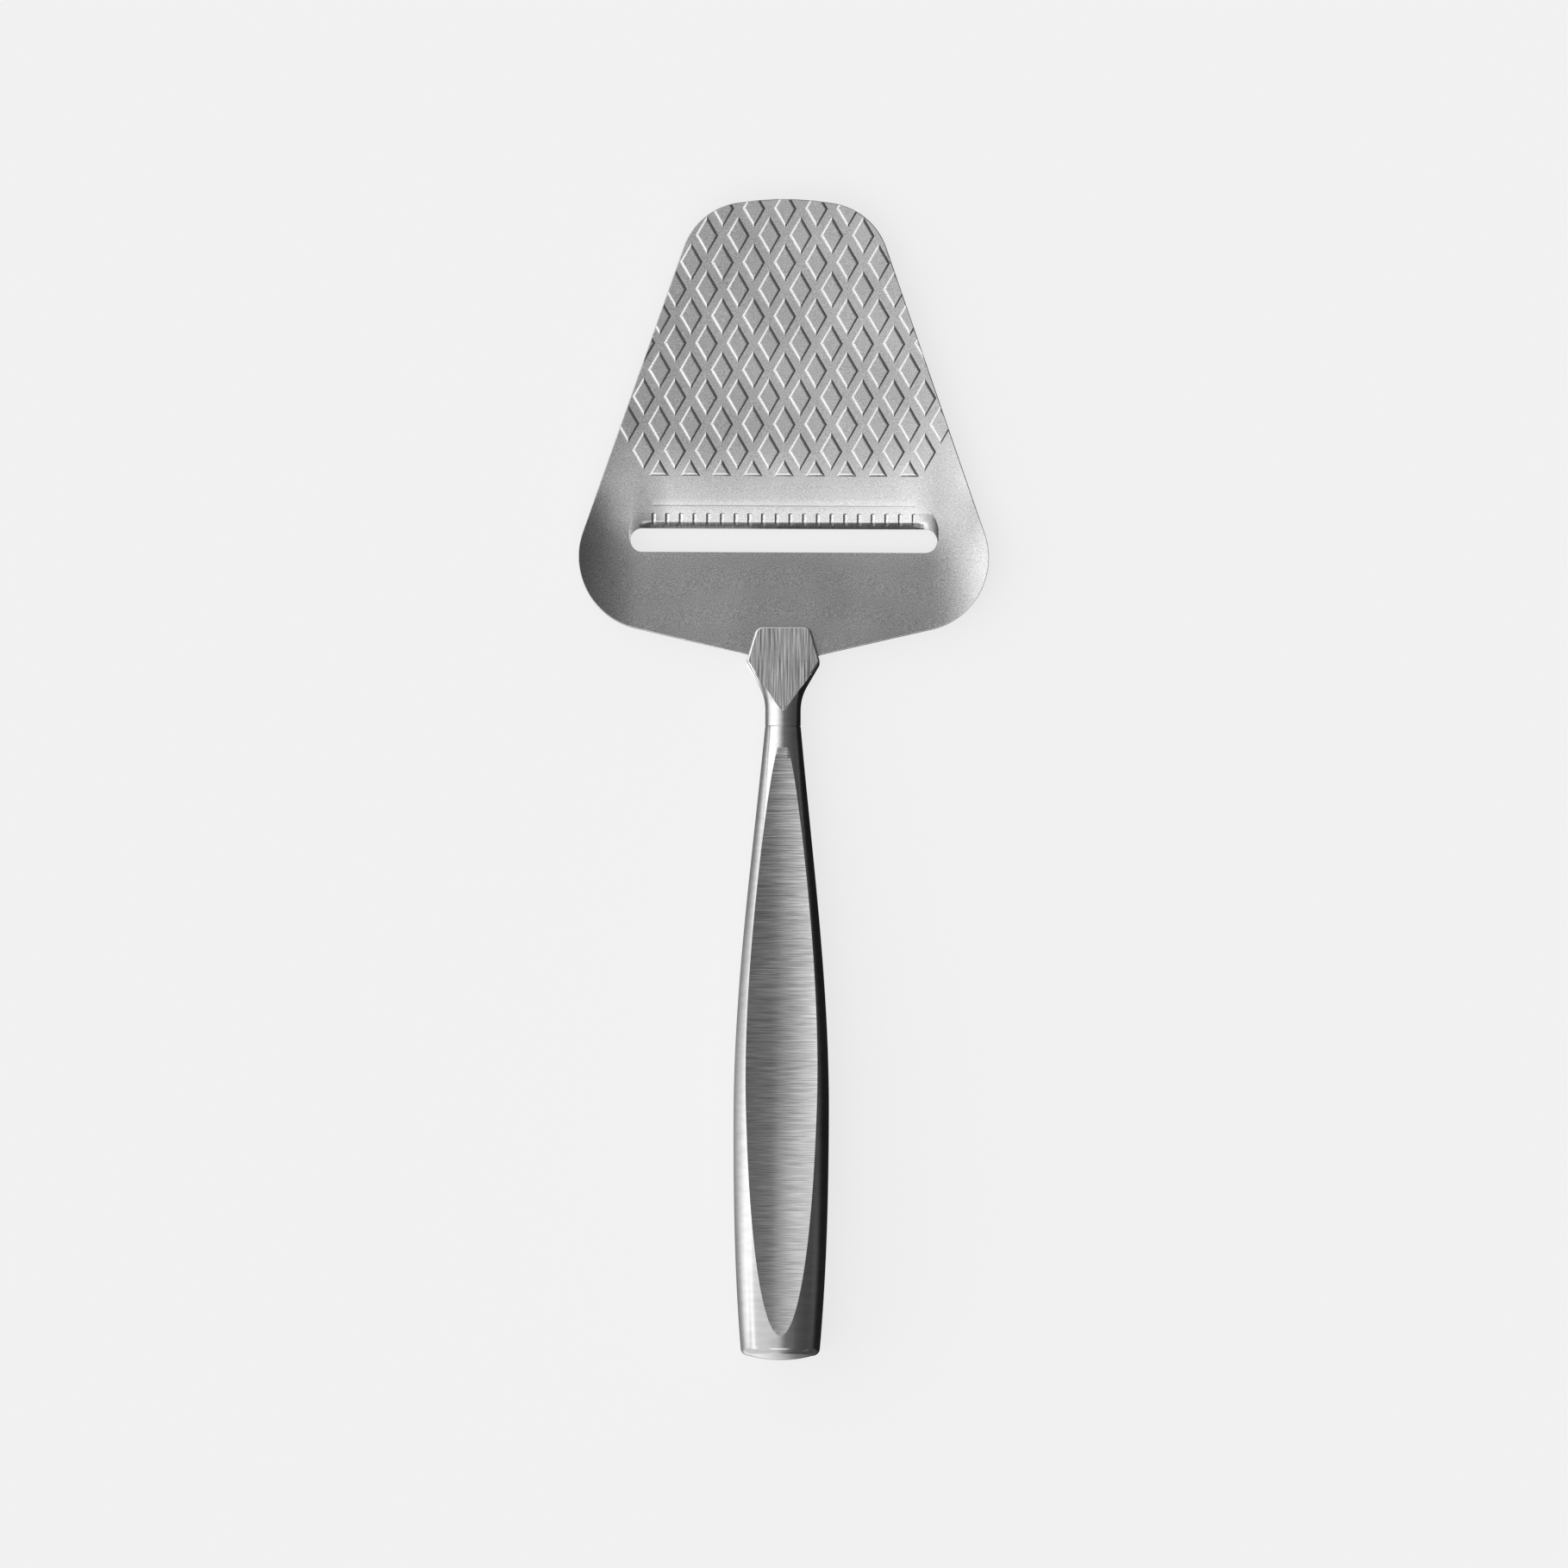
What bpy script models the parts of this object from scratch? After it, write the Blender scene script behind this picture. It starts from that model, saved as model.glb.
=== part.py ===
"""Cheese slicer: pressed blade with a cutting slot, forged bolster with its tang, filled hollow handle.

Metres, +Z up. The slicer lies with its thumb side up, its cutting edge down and its tip towards +Y.
Every piece is drawn about the handle's axis and hangs from one empty, which leans the axis so that the
flat ground along the handle's back lies on z = 0 and the bolster just clears the table.
"""
import math

import bmesh
import bpy
from mathutils import Matrix, Vector

MM = 0.001

# Places along the handle's axis, measured from the middle of the slicer's length
TIP_Y = 125.0 * MM
BUTT_Y = -125.0 * MM
COLLAR_Y = 11.6 * MM
PAD_FRONT_Y = 33.0 * MM

# Blade: a pressed sheet, drawn as a polygon whose corners are rounded
SHEET = 1.3 * MM
TIP_LEAN = math.radians(9.45)
TIP_RADIUS = 62.0 * MM
TIP_CORNER_RADIUS = 14.5 * MM
TIP_STRAIGHT = 0.35 * MM
SIDE_ANGLE = math.radians(19.25)
SHOULDER_RADIUS = 15.8 * MM
REAR_ANGLE = math.radians(13.1)
REAR_ROOT_Y = 26.82 * MM
TANG_ROOT_HALF = 7.5 * MM
TANG_ROOT_RADIUS = 1.8 * MM
TANG_END_HALF = 3.2 * MM
TANG_END_Y = 19.5 * MM
TANG_END_RADIUS = 1.0 * MM

# Wings: both sides of the sheet curl up towards the thumb side, less so past the slot
WING_START = 29.0 * MM
WING_REACH = 15.2 * MM
WING_RISE = 2.5 * MM
WING_FADE = 0.65
WING_FADE_Y = 48.0 * MM
WING_FADE_RUN = 16.0 * MM

# The tip plate is a little hollow across its width and the rear plate a little crowned
DISH_RADIUS = 750.0 * MM
DISH_RUN = 20.0 * MM
CROWN_SHARE = 0.4

# Soft bend at the slot, past which the tip plate rises from the plane of the rear plate
BEND_ANGLE = math.radians(4.0)
BEND_RUN = 10.0 * MM

# Cutting slot, and along its tip side a soft band and a lip that are pressed down
SLOT_LENGTH = 66.0 * MM
SLOT_WIDTH = 5.1 * MM
SLOT_Y = 51.55 * MM
SLOT_END_STRAIGHT = 0.1 * MM
LIP_LENGTH = 5.0 * MM
LIP_ANGLE = math.radians(2.0)
LIP_BEND_RUN = 1.5 * MM
BAND_ANGLE = math.radians(3.5)
BAND_RUN = 13.0 * MM
LIP_END_BLEND = 9.0 * MM
EDGE_BEVEL = 1.3 * MM
EDGE_LAND = 0.2 * MM
EDGE_END = 31.3 * MM
EDGE_END_BLEND = 3.0 * MM

# Fluted grooves across the lip, which give the edge its teeth
GROOVE_COUNT = 20
GROOVE_PITCH = 2.95 * MM
GROOVE_RADIUS = 0.6 * MM
GROOVE_DEPTH = 0.3 * MM
GROOVE_LENGTH = 2.9 * MM
GROOVE_SETBACK = 0.55 * MM
GROOVE_SIDES = 14

# Raised diamonds on the tip plate, in rows that step half a pitch sideways
DIAMOND_WIDTH = 4.92 * MM
DIAMOND_LENGTH = 8.46 * MM
DIAMOND_PITCH = 6.73 * MM
DIAMOND_ROW_PITCH = 5.8 * MM
DIAMOND_HEIGHT = 0.28 * MM
DIAMOND_FLANK = 0.4 * MM
DIAMOND_SINK = 0.2 * MM
PATTERN_BASE_Y = 65.35 * MM
PATTERN_FIRST_ROW_Y = 64.9 * MM
PATTERN_HALF = 36.0 * MM

# Bolster: a turned trumpet, trimmed to a shield and ground flat above and below
PAD_FRONT_HALF = 5.7 * MM
PAD_HALF = 8.05 * MM
PAD_CORNER_RADIUS = 2.0 * MM
PAD_WAIST_RADIUS = 2.5 * MM
PAD_WAIST_CLEAR = 0.05 * MM
PAD_FRONT_HEIGHT = 1.6 * MM
PAD_TAIL_Y = 14.8 * MM
PAD_EDGE = 0.3 * MM
NECK_RADIUS = 3.82 * MM
NECK_BLEND_Y = 17.75 * MM
NECK_BLEND_RADIUS = 10.0 * MM
TRUMPET_ANGLE = math.radians(30.0)
TANG_ROD_RADIUS = 2.6 * MM
TANG_ROD_LENGTH = 48.0 * MM
TANG_ROD_POINT = 1.2 * MM

# Handle: a spindle pressed in two half shells and filled round the tang
BELLY_RADIUS = 10.28 * MM
BELLY_Y = -72.0 * MM
BUTT_RADIUS = 8.55 * MM
BUTT_CORNER = 1.6 * MM
BUTT_DOME = 0.95 * MM
NECK_FLARE = 0.0925
BUTT_TAPER = 0.085
WALL = 1.0 * MM
FILLING_FRONT_Y = -2.0 * MM

# Thumb flat: ground hollow on the thumb side, from a blunt front end behind the neck to the butt
FLAT_FRONT_Y = 6.85 * MM
FLAT_FRONT_HEIGHT = 4.11 * MM
FLAT_REAR_Y = -120.5 * MM
FLAT_REAR_HEIGHT = 8.77 * MM
FLAT_DIP = 0.95 * MM
FLAT_HOLLOW_RADIUS = 36.0 * MM

# Resting flat on the back, which holds the bolster just over the table
REST_REAR_HEIGHT = 8.42 * MM
BOLSTER_LIFT = 0.3 * MM

# Clearance where two pieces meet
FIT = 0.2 * MM

# Fineness of the curved forms
ARC_STEP = math.radians(9.0)
TURN_STEPS = 64
HIDDEN_TURN_STEPS = 36
PROFILE_STEPS = 22
HIDDEN_PROFILE_STEPS = 12
BUTT_STEPS = 5
SHARP_ANGLE = math.radians(35.0)
WING_STEPS = 4
BEND_STEPS = 3
FLAT_STEPS_ACROSS = 12
FLAT_STEPS_ALONG = 16

# How far a cutter reaches past the piece that it cuts
OVERCUT = 6.0 * MM

AXIS_LEAN = math.asin((REST_REAR_HEIGHT - NECK_RADIUS - BOLSTER_LIFT) / (PAD_TAIL_Y - FLAT_REAR_Y))
AXIS_LIFT = NECK_RADIUS + BOLSTER_LIFT + PAD_TAIL_Y * math.sin(AXIS_LEAN)


def clear_scene():
    for obj in list(bpy.data.objects):
        bpy.data.objects.remove(obj, do_unlink=True)


def new_collection(name):
    collection = bpy.data.collections.new(name)
    bpy.context.scene.collection.children.link(collection)
    return collection


def steel(name, colour, roughness, metallic=1.0):
    """A Principled material in the piece's own colour and finish."""
    material = bpy.data.materials.new(name)
    material.use_nodes = True
    shader = material.node_tree.nodes["Principled BSDF"]
    shader.inputs["Base Color"].default_value = (*colour, 1.0)
    shader.inputs["Roughness"].default_value = roughness
    shader.inputs["Metallic"].default_value = metallic
    return material


def add_object(name, mesh, collection, axis):
    obj = bpy.data.objects.new(name, mesh)
    collection.objects.link(obj)
    obj.parent = axis
    return obj


def from_bmesh(name, bm, collection, axis):
    """An object from a bmesh whose faces are first turned outwards."""
    bmesh.ops.recalc_face_normals(bm, faces=bm.faces)
    mesh = bpy.data.meshes.new(name)
    bm.to_mesh(mesh)
    bm.free()
    return add_object(name, mesh, collection, axis)


def as_cutter(obj):
    obj.hide_render = True
    obj.display_type = "WIRE"
    return obj


def boolean(obj, operation, other):
    modifier = obj.modifiers.new(f"{operation.lower()}_{other.name}", "BOOLEAN")
    modifier.operation = operation
    modifier.object = other
    modifier.solver = "EXACT"


def ease_edges(obj, width):
    """A narrow bevel along the edges that the grinding left sharp."""
    bevel = obj.modifiers.new("eased_edges", "BEVEL")
    bevel.width = width
    bevel.segments = 2
    bevel.limit_method = "ANGLE"
    bevel.angle_limit = SHARP_ANGLE
    bevel.use_clamp_overlap = True


def rounded(corners):
    """Points of a polygon whose (x, y, radius) corners are rounded by tangent arcs."""
    points = []
    for index, (x, y, radius) in enumerate(corners):
        corner = Vector((x, y))
        before = Vector(corners[index - 1][:2]) - corner
        after = Vector(corners[(index + 1) % len(corners)][:2]) - corner
        before.normalize()
        after.normalize()
        turn = math.pi - before.angle(after)
        if radius <= 0.0 or turn < ARC_STEP / 10:
            points.append(corner)
            continue
        reach = radius * math.tan(turn / 2)
        start = corner + before * reach
        centre = corner + (before + after).normalized() * radius / math.cos(turn / 2)
        side = 1.0 if before.cross(after) < 0.0 else -1.0
        steps = max(2, math.ceil(turn / ARC_STEP))
        for step in range(steps + 1):
            spoke = (start - centre)
            spoke.rotate(Matrix.Rotation(side * turn * step / steps, 2))
            points.append(centre + spoke)
    return points


def prism(name, outline, low, high, collection, axis):
    """A flat outline given thickness from low to high, as a closed mesh."""
    curve = bpy.data.curves.new(name, "CURVE")
    curve.dimensions = "2D"
    curve.fill_mode = "BOTH"
    curve.extrude = (high - low) / 2
    spline = curve.splines.new("POLY")
    spline.points.add(len(outline) - 1)
    for point, (x, y) in zip(spline.points, outline):
        point.co = (x, y, 0.0, 1.0)
    spline.use_cyclic_u = True
    drawn = add_object(f"{name}_outline", curve, collection, None)
    bpy.context.view_layer.update()
    evaluated = drawn.evaluated_get(bpy.context.evaluated_depsgraph_get())
    mesh = bpy.data.meshes.new_from_object(evaluated)
    bpy.data.objects.remove(drawn, do_unlink=True)
    bm = bmesh.new()
    bm.from_mesh(mesh)
    bpy.data.meshes.remove(mesh)
    bmesh.ops.remove_doubles(bm, verts=bm.verts, dist=0.001 * MM)
    bmesh.ops.translate(bm, verts=bm.verts, vec=(0.0, 0.0, (low + high) / 2))
    return from_bmesh(name, bm, collection, axis)


def block(name, low, high, collection, axis, turn=None):
    """A box between two corners, turned about the origin where asked."""
    bm = bmesh.new()
    bmesh.ops.create_cube(bm, size=1.0)
    size = Vector(high) - Vector(low)
    bmesh.ops.scale(bm, vec=size, verts=bm.verts)
    bmesh.ops.translate(bm, vec=(Vector(high) + Vector(low)) / 2, verts=bm.verts)
    if turn is not None:
        bmesh.ops.transform(bm, matrix=turn, verts=bm.verts)
    return from_bmesh(name, bm, collection, axis)


def turned(name, profile, collection, axis, steps=TURN_STEPS):
    """A shape turned about the Y axis from (radius, y) points that run from the front to the back."""
    mesh = bpy.data.meshes.new(name)
    edges = [(index, index + 1) for index in range(len(profile) - 1)]
    mesh.from_pydata([(radius, y, 0.0) for radius, y in profile], edges, [])
    obj = add_object(name, mesh, collection, axis)
    screw = obj.modifiers.new("turn", "SCREW")
    screw.axis = "Y"
    screw.steps = steps
    screw.render_steps = steps
    screw.use_merge_vertices = True
    screw.merge_threshold = 0.00001
    screw.use_smooth_shade = True
    return obj


def mirrored(right_half):
    """A closed outline from its right half, listed from the front to the back."""
    left_half = [(-x, y, radius) for x, y, radius in reversed(right_half) if x > 0.0]
    return right_half + left_half


def rear_edge_y(half):
    """Where the blade's straight rear edge runs at a given half width."""
    return REAR_ROOT_Y + (half - TANG_ROOT_HALF) * math.tan(REAR_ANGLE)


def tip_vertex_y():
    """Where the two leaning tip edges would meet, just past the large arc that joins them."""
    return TIP_Y + TIP_RADIUS * (1.0 / math.cos(TIP_LEAN) - 1.0)


def tip_corner_half():
    """Half the tip's width at its corners: the tip's arc, a short straight and the corner's arc side by side."""
    corner_turn = math.pi / 2 - TIP_LEAN - SIDE_ANGLE
    arcs = TIP_RADIUS * math.tan(TIP_LEAN) + TIP_CORNER_RADIUS * math.tan(corner_turn / 2)
    return (arcs + TIP_STRAIGHT) * math.cos(TIP_LEAN)


def tip_corner_y():
    return tip_vertex_y() - tip_corner_half() * math.tan(TIP_LEAN)


def shoulder_half():
    """Half the blade's width where its straight sides would meet its rear edges."""
    side = math.tan(SIDE_ANGLE)
    reach = tip_corner_y() - rear_edge_y(0.0)
    return (tip_corner_half() + reach * side) / (1.0 + side * math.tan(REAR_ANGLE))


def blade_corners():
    right_half = [
        (0.0, tip_vertex_y(), TIP_RADIUS),
        (tip_corner_half(), tip_corner_y(), TIP_CORNER_RADIUS),
        (shoulder_half(), rear_edge_y(shoulder_half()), SHOULDER_RADIUS),
        (TANG_ROOT_HALF, rear_edge_y(TANG_ROOT_HALF), TANG_ROOT_RADIUS),
        (TANG_END_HALF, TANG_END_Y, TANG_END_RADIUS),
    ]
    return mirrored(right_half)


def edge_y():
    return SLOT_Y + SLOT_WIDTH / 2


def soft_share(share):
    """From 0 to 1 with a soft start and a soft end."""
    share = min(max(share, 0.0), 1.0)
    return share * share * (3.0 - 2.0 * share)


def bend_rise(past, run, angle):
    """Height gained along a bend that takes its whole run to reach its angle, and past it on the straight."""
    bent = min(max(past, 0.0), run)
    straight = max(past - run, 0.0)
    return math.tan(angle) * (bent ** 2 / (2 * run) + straight)


def wing_rise(x, y):
    curl = WING_RISE * (max(0.0, abs(x) - WING_START) / WING_REACH) ** 3
    return curl * (1.0 - WING_FADE * soft_share((y - WING_FADE_Y) / WING_FADE_RUN))


def dish_rise(x, y):
    hollow = soft_share((y - SLOT_Y) / DISH_RUN + 0.5) * (1.0 + CROWN_SHARE) - CROWN_SHARE
    return hollow * x ** 2 / (2 * DISH_RADIUS)


def lip_drop(x, y):
    """The sheet is pressed down softly along a band over the slot, and the lip at its edge a step further."""
    if y < SLOT_Y:
        return 0.0
    into_lip = edge_y() + LIP_LENGTH - max(y, edge_y())
    band = bend_rise(into_lip + BAND_RUN, BAND_RUN, BAND_ANGLE)
    lip = bend_rise(into_lip, LIP_BEND_RUN, LIP_ANGLE)
    return (band + lip) * soft_share((SLOT_LENGTH / 2 - abs(x)) / LIP_END_BLEND)


def sheet_height(x, y):
    """Middle of the sheet above the rear plate's plane: wings and tip plate rise, the lip is pressed down."""
    tip_plate = bend_rise(y - SLOT_Y + BEND_RUN / 2, BEND_RUN, BEND_ANGLE)
    return wing_rise(x, y) + dish_rise(x, y) + tip_plate - lip_drop(x, y)


def laid_on_sheet(x, y):
    """Place and turn of a shape that lies on the sheet's top."""
    reach = DIAMOND_WIDTH / 2
    across = math.atan((sheet_height(x + reach, y) - sheet_height(x - reach, y)) / (2 * reach))
    along = math.atan((sheet_height(x, y + reach) - sheet_height(x, y - reach)) / (2 * reach))
    seat = Matrix.Translation((x, y, sheet_height(x, y) + SHEET / 2))
    return seat @ Matrix.Rotation(along, 4, "X") @ Matrix.Rotation(-across, 4, "Y")


def ground_off(x, y):
    """How much of the sheet's thickness the edge's bevel takes away."""
    if y < SLOT_Y:
        return 0.0
    past = min(max((edge_y() + EDGE_BEVEL - y) / EDGE_BEVEL, 0.0), 1.0)
    return (SHEET - EDGE_LAND) * past * soft_share((EDGE_END - abs(x)) / EDGE_END_BLEND)


def steps_between(low, high, count):
    return [low + (high - low) * step / count for step in range(count + 1)]


def sheet_stations():
    """Grid lines across and along the sheet, at each place where its form changes."""
    lip_end = SLOT_LENGTH / 2
    lip_start = lip_end - LIP_END_BLEND
    wing_end = WING_START + WING_REACH
    across = steps_between(lip_start, lip_end, BEND_STEPS) + [EDGE_END - EDGE_END_BLEND, EDGE_END]
    across += steps_between(WING_START, wing_end, WING_STEPS) + [lip_start / 2, wing_end + OVERCUT]
    across = sorted([-x for x in across] + [0.0] + across)
    edge = edge_y()
    crease = edge + LIP_LENGTH
    along = steps_between(SLOT_Y - BEND_RUN / 2, SLOT_Y + BEND_RUN / 2, BEND_STEPS)
    along += steps_between(crease, crease + BAND_RUN, BEND_STEPS) + [crease - LIP_BEND_RUN]
    along += [SLOT_Y - SLOT_WIDTH / 8, SLOT_Y + SLOT_WIDTH / 8, edge, edge + EDGE_BEVEL]
    along += [TANG_END_Y - OVERCUT, SLOT_Y - DISH_RUN / 2, TIP_Y + OVERCUT]
    return across, sorted(along)


def pressed_sheet(collection, axis):
    """A slab on a grid, pressed into wings, bend and lip, with the edge's bevel taken off its top."""
    across, along = sheet_stations()
    bm = bmesh.new()
    bmesh.ops.create_grid(bm, x_segments=len(across) - 1, y_segments=len(along) - 1, size=0.5)
    for vert in bm.verts:
        column = round((vert.co.x + 0.5) * (len(across) - 1))
        row = round((vert.co.y + 0.5) * (len(along) - 1))
        vert.co = (across[column], along[row], 0.0)
    top = list(bm.verts)
    under = bmesh.ops.extrude_face_region(bm, geom=list(bm.faces))
    for vert in top:
        x, y, _ = vert.co
        vert.co.z = sheet_height(x, y) + SHEET / 2 - ground_off(x, y)
    for vert in under["geom"]:
        if isinstance(vert, bmesh.types.BMVert):
            x, y, _ = vert.co
            vert.co.z = sheet_height(x, y) - SHEET / 2
    return from_bmesh("blade", bm, collection, axis)


def diamond_places():
    """Centres of the diamonds, row by row towards the tip."""
    rows = math.ceil((TIP_Y + DIAMOND_LENGTH - PATTERN_FIRST_ROW_Y) / DIAMOND_ROW_PITCH)
    reach = math.ceil(PATTERN_HALF / DIAMOND_PITCH)
    for row in range(rows):
        shift = 0.5 * (row % 2)
        for column in range(-reach, reach):
            x = (column + shift) * DIAMOND_PITCH
            if abs(x) <= PATTERN_HALF - row_margin(row):
                yield x, PATTERN_FIRST_ROW_Y + row * DIAMOND_ROW_PITCH


def row_margin(row):
    """The first row is short, so that its half diamonds stop inside the wings."""
    return DIAMOND_PITCH if row == 0 else 0.0


def diamonds(collection, axis):
    """Four-sided low pyramids with cut-off tops, seated in the sheet and tilted with it."""
    half = Vector((DIAMOND_WIDTH / 2, DIAMOND_LENGTH / 2))
    inner = half.x * half.y / half.length
    spread = DIAMOND_FLANK / inner
    foot = 1.0 + spread * DIAMOND_SINK / DIAMOND_HEIGHT
    height = DIAMOND_HEIGHT + DIAMOND_SINK
    bm = bmesh.new()
    for x, y in diamond_places():
        stand = Matrix.Translation((0.0, 0.0, (DIAMOND_HEIGHT - DIAMOND_SINK) / 2))
        shape = Matrix.Diagonal((half.x, half.y, 1.0, 1.0))
        bmesh.ops.create_cone(
            bm, cap_ends=True, segments=4, radius1=foot, radius2=1.0 - spread, depth=height,
            matrix=laid_on_sheet(x, y) @ stand @ shape)
    bmesh.ops.bisect_plane(
        bm, geom=bm.verts[:] + bm.edges[:] + bm.faces[:], plane_co=(0.0, PATTERN_BASE_Y, 0.0),
        plane_no=(0.0, -1.0, 0.0), clear_outer=True)
    bmesh.ops.holes_fill(bm, edges=[edge for edge in bm.edges if edge.is_boundary], sides=0)
    return as_cutter(from_bmesh("diamonds", bm, collection, axis))


def grooves(collection, axis):
    """Round-bottomed flutes that run up the lip from just behind the edge."""
    bm = bmesh.new()
    low_y = edge_y() + GROOVE_SETBACK
    high_y = low_y + GROOVE_LENGTH
    for index in range(GROOVE_COUNT):
        x = (index - (GROOVE_COUNT - 1) / 2) * GROOVE_PITCH
        low = sheet_height(x, low_y)
        high = sheet_height(x, high_y)
        surface = SHEET / 2 + (low + high) / 2
        lie_along = Matrix.Rotation(math.atan2(high - low, GROOVE_LENGTH) + math.pi / 2, 4, "X")
        place = Matrix.Translation((x, (low_y + high_y) / 2, surface + GROOVE_RADIUS - GROOVE_DEPTH))
        bmesh.ops.create_cone(
            bm, cap_ends=True, segments=GROOVE_SIDES, radius1=GROOVE_RADIUS, radius2=GROOVE_RADIUS,
            depth=GROOVE_LENGTH, matrix=place @ lie_along)
    return as_cutter(from_bmesh("grooves", bm, collection, axis))


def make_blade(parts, cutters, axis):
    blade = pressed_sheet(parts, axis)
    outline = rounded(blade_corners())
    reach = SHEET + WING_RISE + OVERCUT
    trim = as_cutter(prism("blade_outline", outline, -reach, reach, cutters, axis))
    end_radius = (SLOT_WIDTH - SLOT_END_STRAIGHT) / 2
    slot_half = [
        (SLOT_LENGTH / 2, SLOT_Y + SLOT_WIDTH / 2, end_radius),
        (SLOT_LENGTH / 2, SLOT_Y - SLOT_WIDTH / 2, end_radius),
    ]
    slot = as_cutter(prism("slot", rounded(mirrored(slot_half)), -reach, reach, cutters, axis))
    boolean(blade, "UNION", diamonds(cutters, axis))
    boolean(blade, "INTERSECT", trim)
    boolean(blade, "DIFFERENCE", slot)
    boolean(blade, "DIFFERENCE", grooves(cutters, axis))
    blade.data.materials.append(steel("bead_blasted_steel", (0.56, 0.56, 0.55), 0.42))
    return blade


def trumpet_profile():
    """Bolster from the pad's front down its flare to the neck, then the tang rod and its point."""
    head = PAD_HALF + OVERCUT
    flare_y = NECK_BLEND_Y + (head - NECK_RADIUS) / math.tan(TRUMPET_ANGLE)
    rod_end = COLLAR_Y - TANG_ROD_LENGTH
    corners = [
        (0.0, flare_y + OVERCUT, 0.0),
        (head, flare_y + OVERCUT, 0.0),
        (head, flare_y, 0.0),
        (NECK_RADIUS, NECK_BLEND_Y, NECK_BLEND_RADIUS),
        (NECK_RADIUS, COLLAR_Y, 0.0),
        (TANG_ROD_RADIUS, COLLAR_Y, 0.0),
        (TANG_ROD_RADIUS, rod_end + TANG_ROD_POINT, 0.0),
        (TANG_ROD_RADIUS - TANG_ROD_POINT, rod_end, 0.0),
        (0.0, rod_end, 0.0),
    ]
    return rounded(corners)


def shield_corners():
    """Plan of the pad: a narrow front, sides that run out to a rounded waist, then clear of trumpet and neck."""
    waist_y = NECK_BLEND_Y + (PAD_HALF - PAD_WAIST_CLEAR - NECK_RADIUS) / math.tan(TRUMPET_ANGLE)
    clear_y = waist_y - PAD_WAIST_RADIUS
    right_half = [
        (PAD_FRONT_HALF, PAD_FRONT_Y, PAD_CORNER_RADIUS),
        (PAD_HALF, waist_y, PAD_WAIST_RADIUS),
        (PAD_HALF - PAD_WAIST_RADIUS * math.tan(TRUMPET_ANGLE), clear_y, 0.0),
        (PAD_HALF, clear_y, 0.0),
        (PAD_HALF, COLLAR_Y - TANG_ROD_LENGTH - OVERCUT, 0.0),
    ]
    return mirrored(right_half)


def pad_slope():
    return math.atan2(NECK_RADIUS - PAD_FRONT_HEIGHT, PAD_FRONT_Y - PAD_TAIL_Y)


def pad_flat(name, side, cutters, axis):
    """The plane that leaves the pad flat, from its thin front up to where the neck is full round."""
    hinge = Matrix.Translation((0.0, PAD_TAIL_Y, side * NECK_RADIUS))
    turn = hinge @ Matrix.Rotation(-side * pad_slope(), 4, "X")
    wide = PAD_HALF + OVERCUT
    front = PAD_FRONT_Y - PAD_TAIL_Y + 2 * OVERCUT
    back = COLLAR_Y - PAD_TAIL_Y
    deep = side * (PAD_HALF + 2 * OVERCUT)
    low = (-wide, back, min(0.0, deep))
    return as_cutter(block(name, low, (wide, front, max(0.0, deep)), cutters, axis, turn))


def tang_pocket(cutters, axis):
    """The fork's slot: as wide as the head where the sheet enters, then close round the tang."""
    mouth = PAD_HALF + OVERCUT
    root_y = rear_edge_y(TANG_ROOT_HALF) - FIT
    right_half = [
        (mouth, PAD_FRONT_Y + 2 * OVERCUT, 0.0),
        (mouth, rear_edge_y(mouth) - FIT, 0.0),
        (TANG_ROOT_HALF + FIT, root_y, TANG_ROOT_RADIUS - FIT),
        (TANG_END_HALF + FIT, TANG_END_Y - FIT, TANG_END_RADIUS + FIT),
    ]
    half = SHEET / 2 + FIT
    return as_cutter(prism("tang_pocket", rounded(mirrored(right_half)), -half, half, cutters, axis))


def make_bolster(parts, cutters, axis):
    bolster = turned("bolster", trumpet_profile(), parts, axis)
    reach = PAD_HALF + 2 * OVERCUT
    shield = as_cutter(prism("shield", rounded(shield_corners()), -reach, reach, cutters, axis))
    boolean(bolster, "INTERSECT", shield)
    boolean(bolster, "DIFFERENCE", pad_flat("pad_flat_above", 1.0, cutters, axis))
    boolean(bolster, "DIFFERENCE", pad_flat("pad_flat_below", -1.0, cutters, axis))
    boolean(bolster, "DIFFERENCE", tang_pocket(cutters, axis))
    ease_edges(bolster, PAD_EDGE)
    bolster.data.materials.append(steel("linished_forging", (0.52, 0.52, 0.52), 0.3))
    return bolster


def eased(start, end, slope_start, slope_end, run, share):
    """Cubic through two radii with a given slope at each end."""
    t = share
    return (
        (2 * t ** 3 - 3 * t ** 2 + 1) * start + (t ** 3 - 2 * t ** 2 + t) * slope_start * run
        + (3 * t ** 2 - 2 * t ** 3) * end + (t ** 3 - t ** 2) * slope_end * run)


def butt_corner_y():
    return BUTT_Y + BUTT_DOME + BUTT_CORNER


def spindle_radius(y):
    """The handle's radius: it swells from the neck to the belly and narrows to the butt."""
    if y > BELLY_Y:
        run = COLLAR_Y - BELLY_Y
        return eased(NECK_RADIUS, BELLY_RADIUS, NECK_FLARE, 0.0, run, (COLLAR_Y - y) / run)
    run = BELLY_Y - butt_corner_y()
    return eased(BELLY_RADIUS, BUTT_RADIUS, 0.0, -BUTT_TAPER, run, (BELLY_Y - y) / run)


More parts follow.
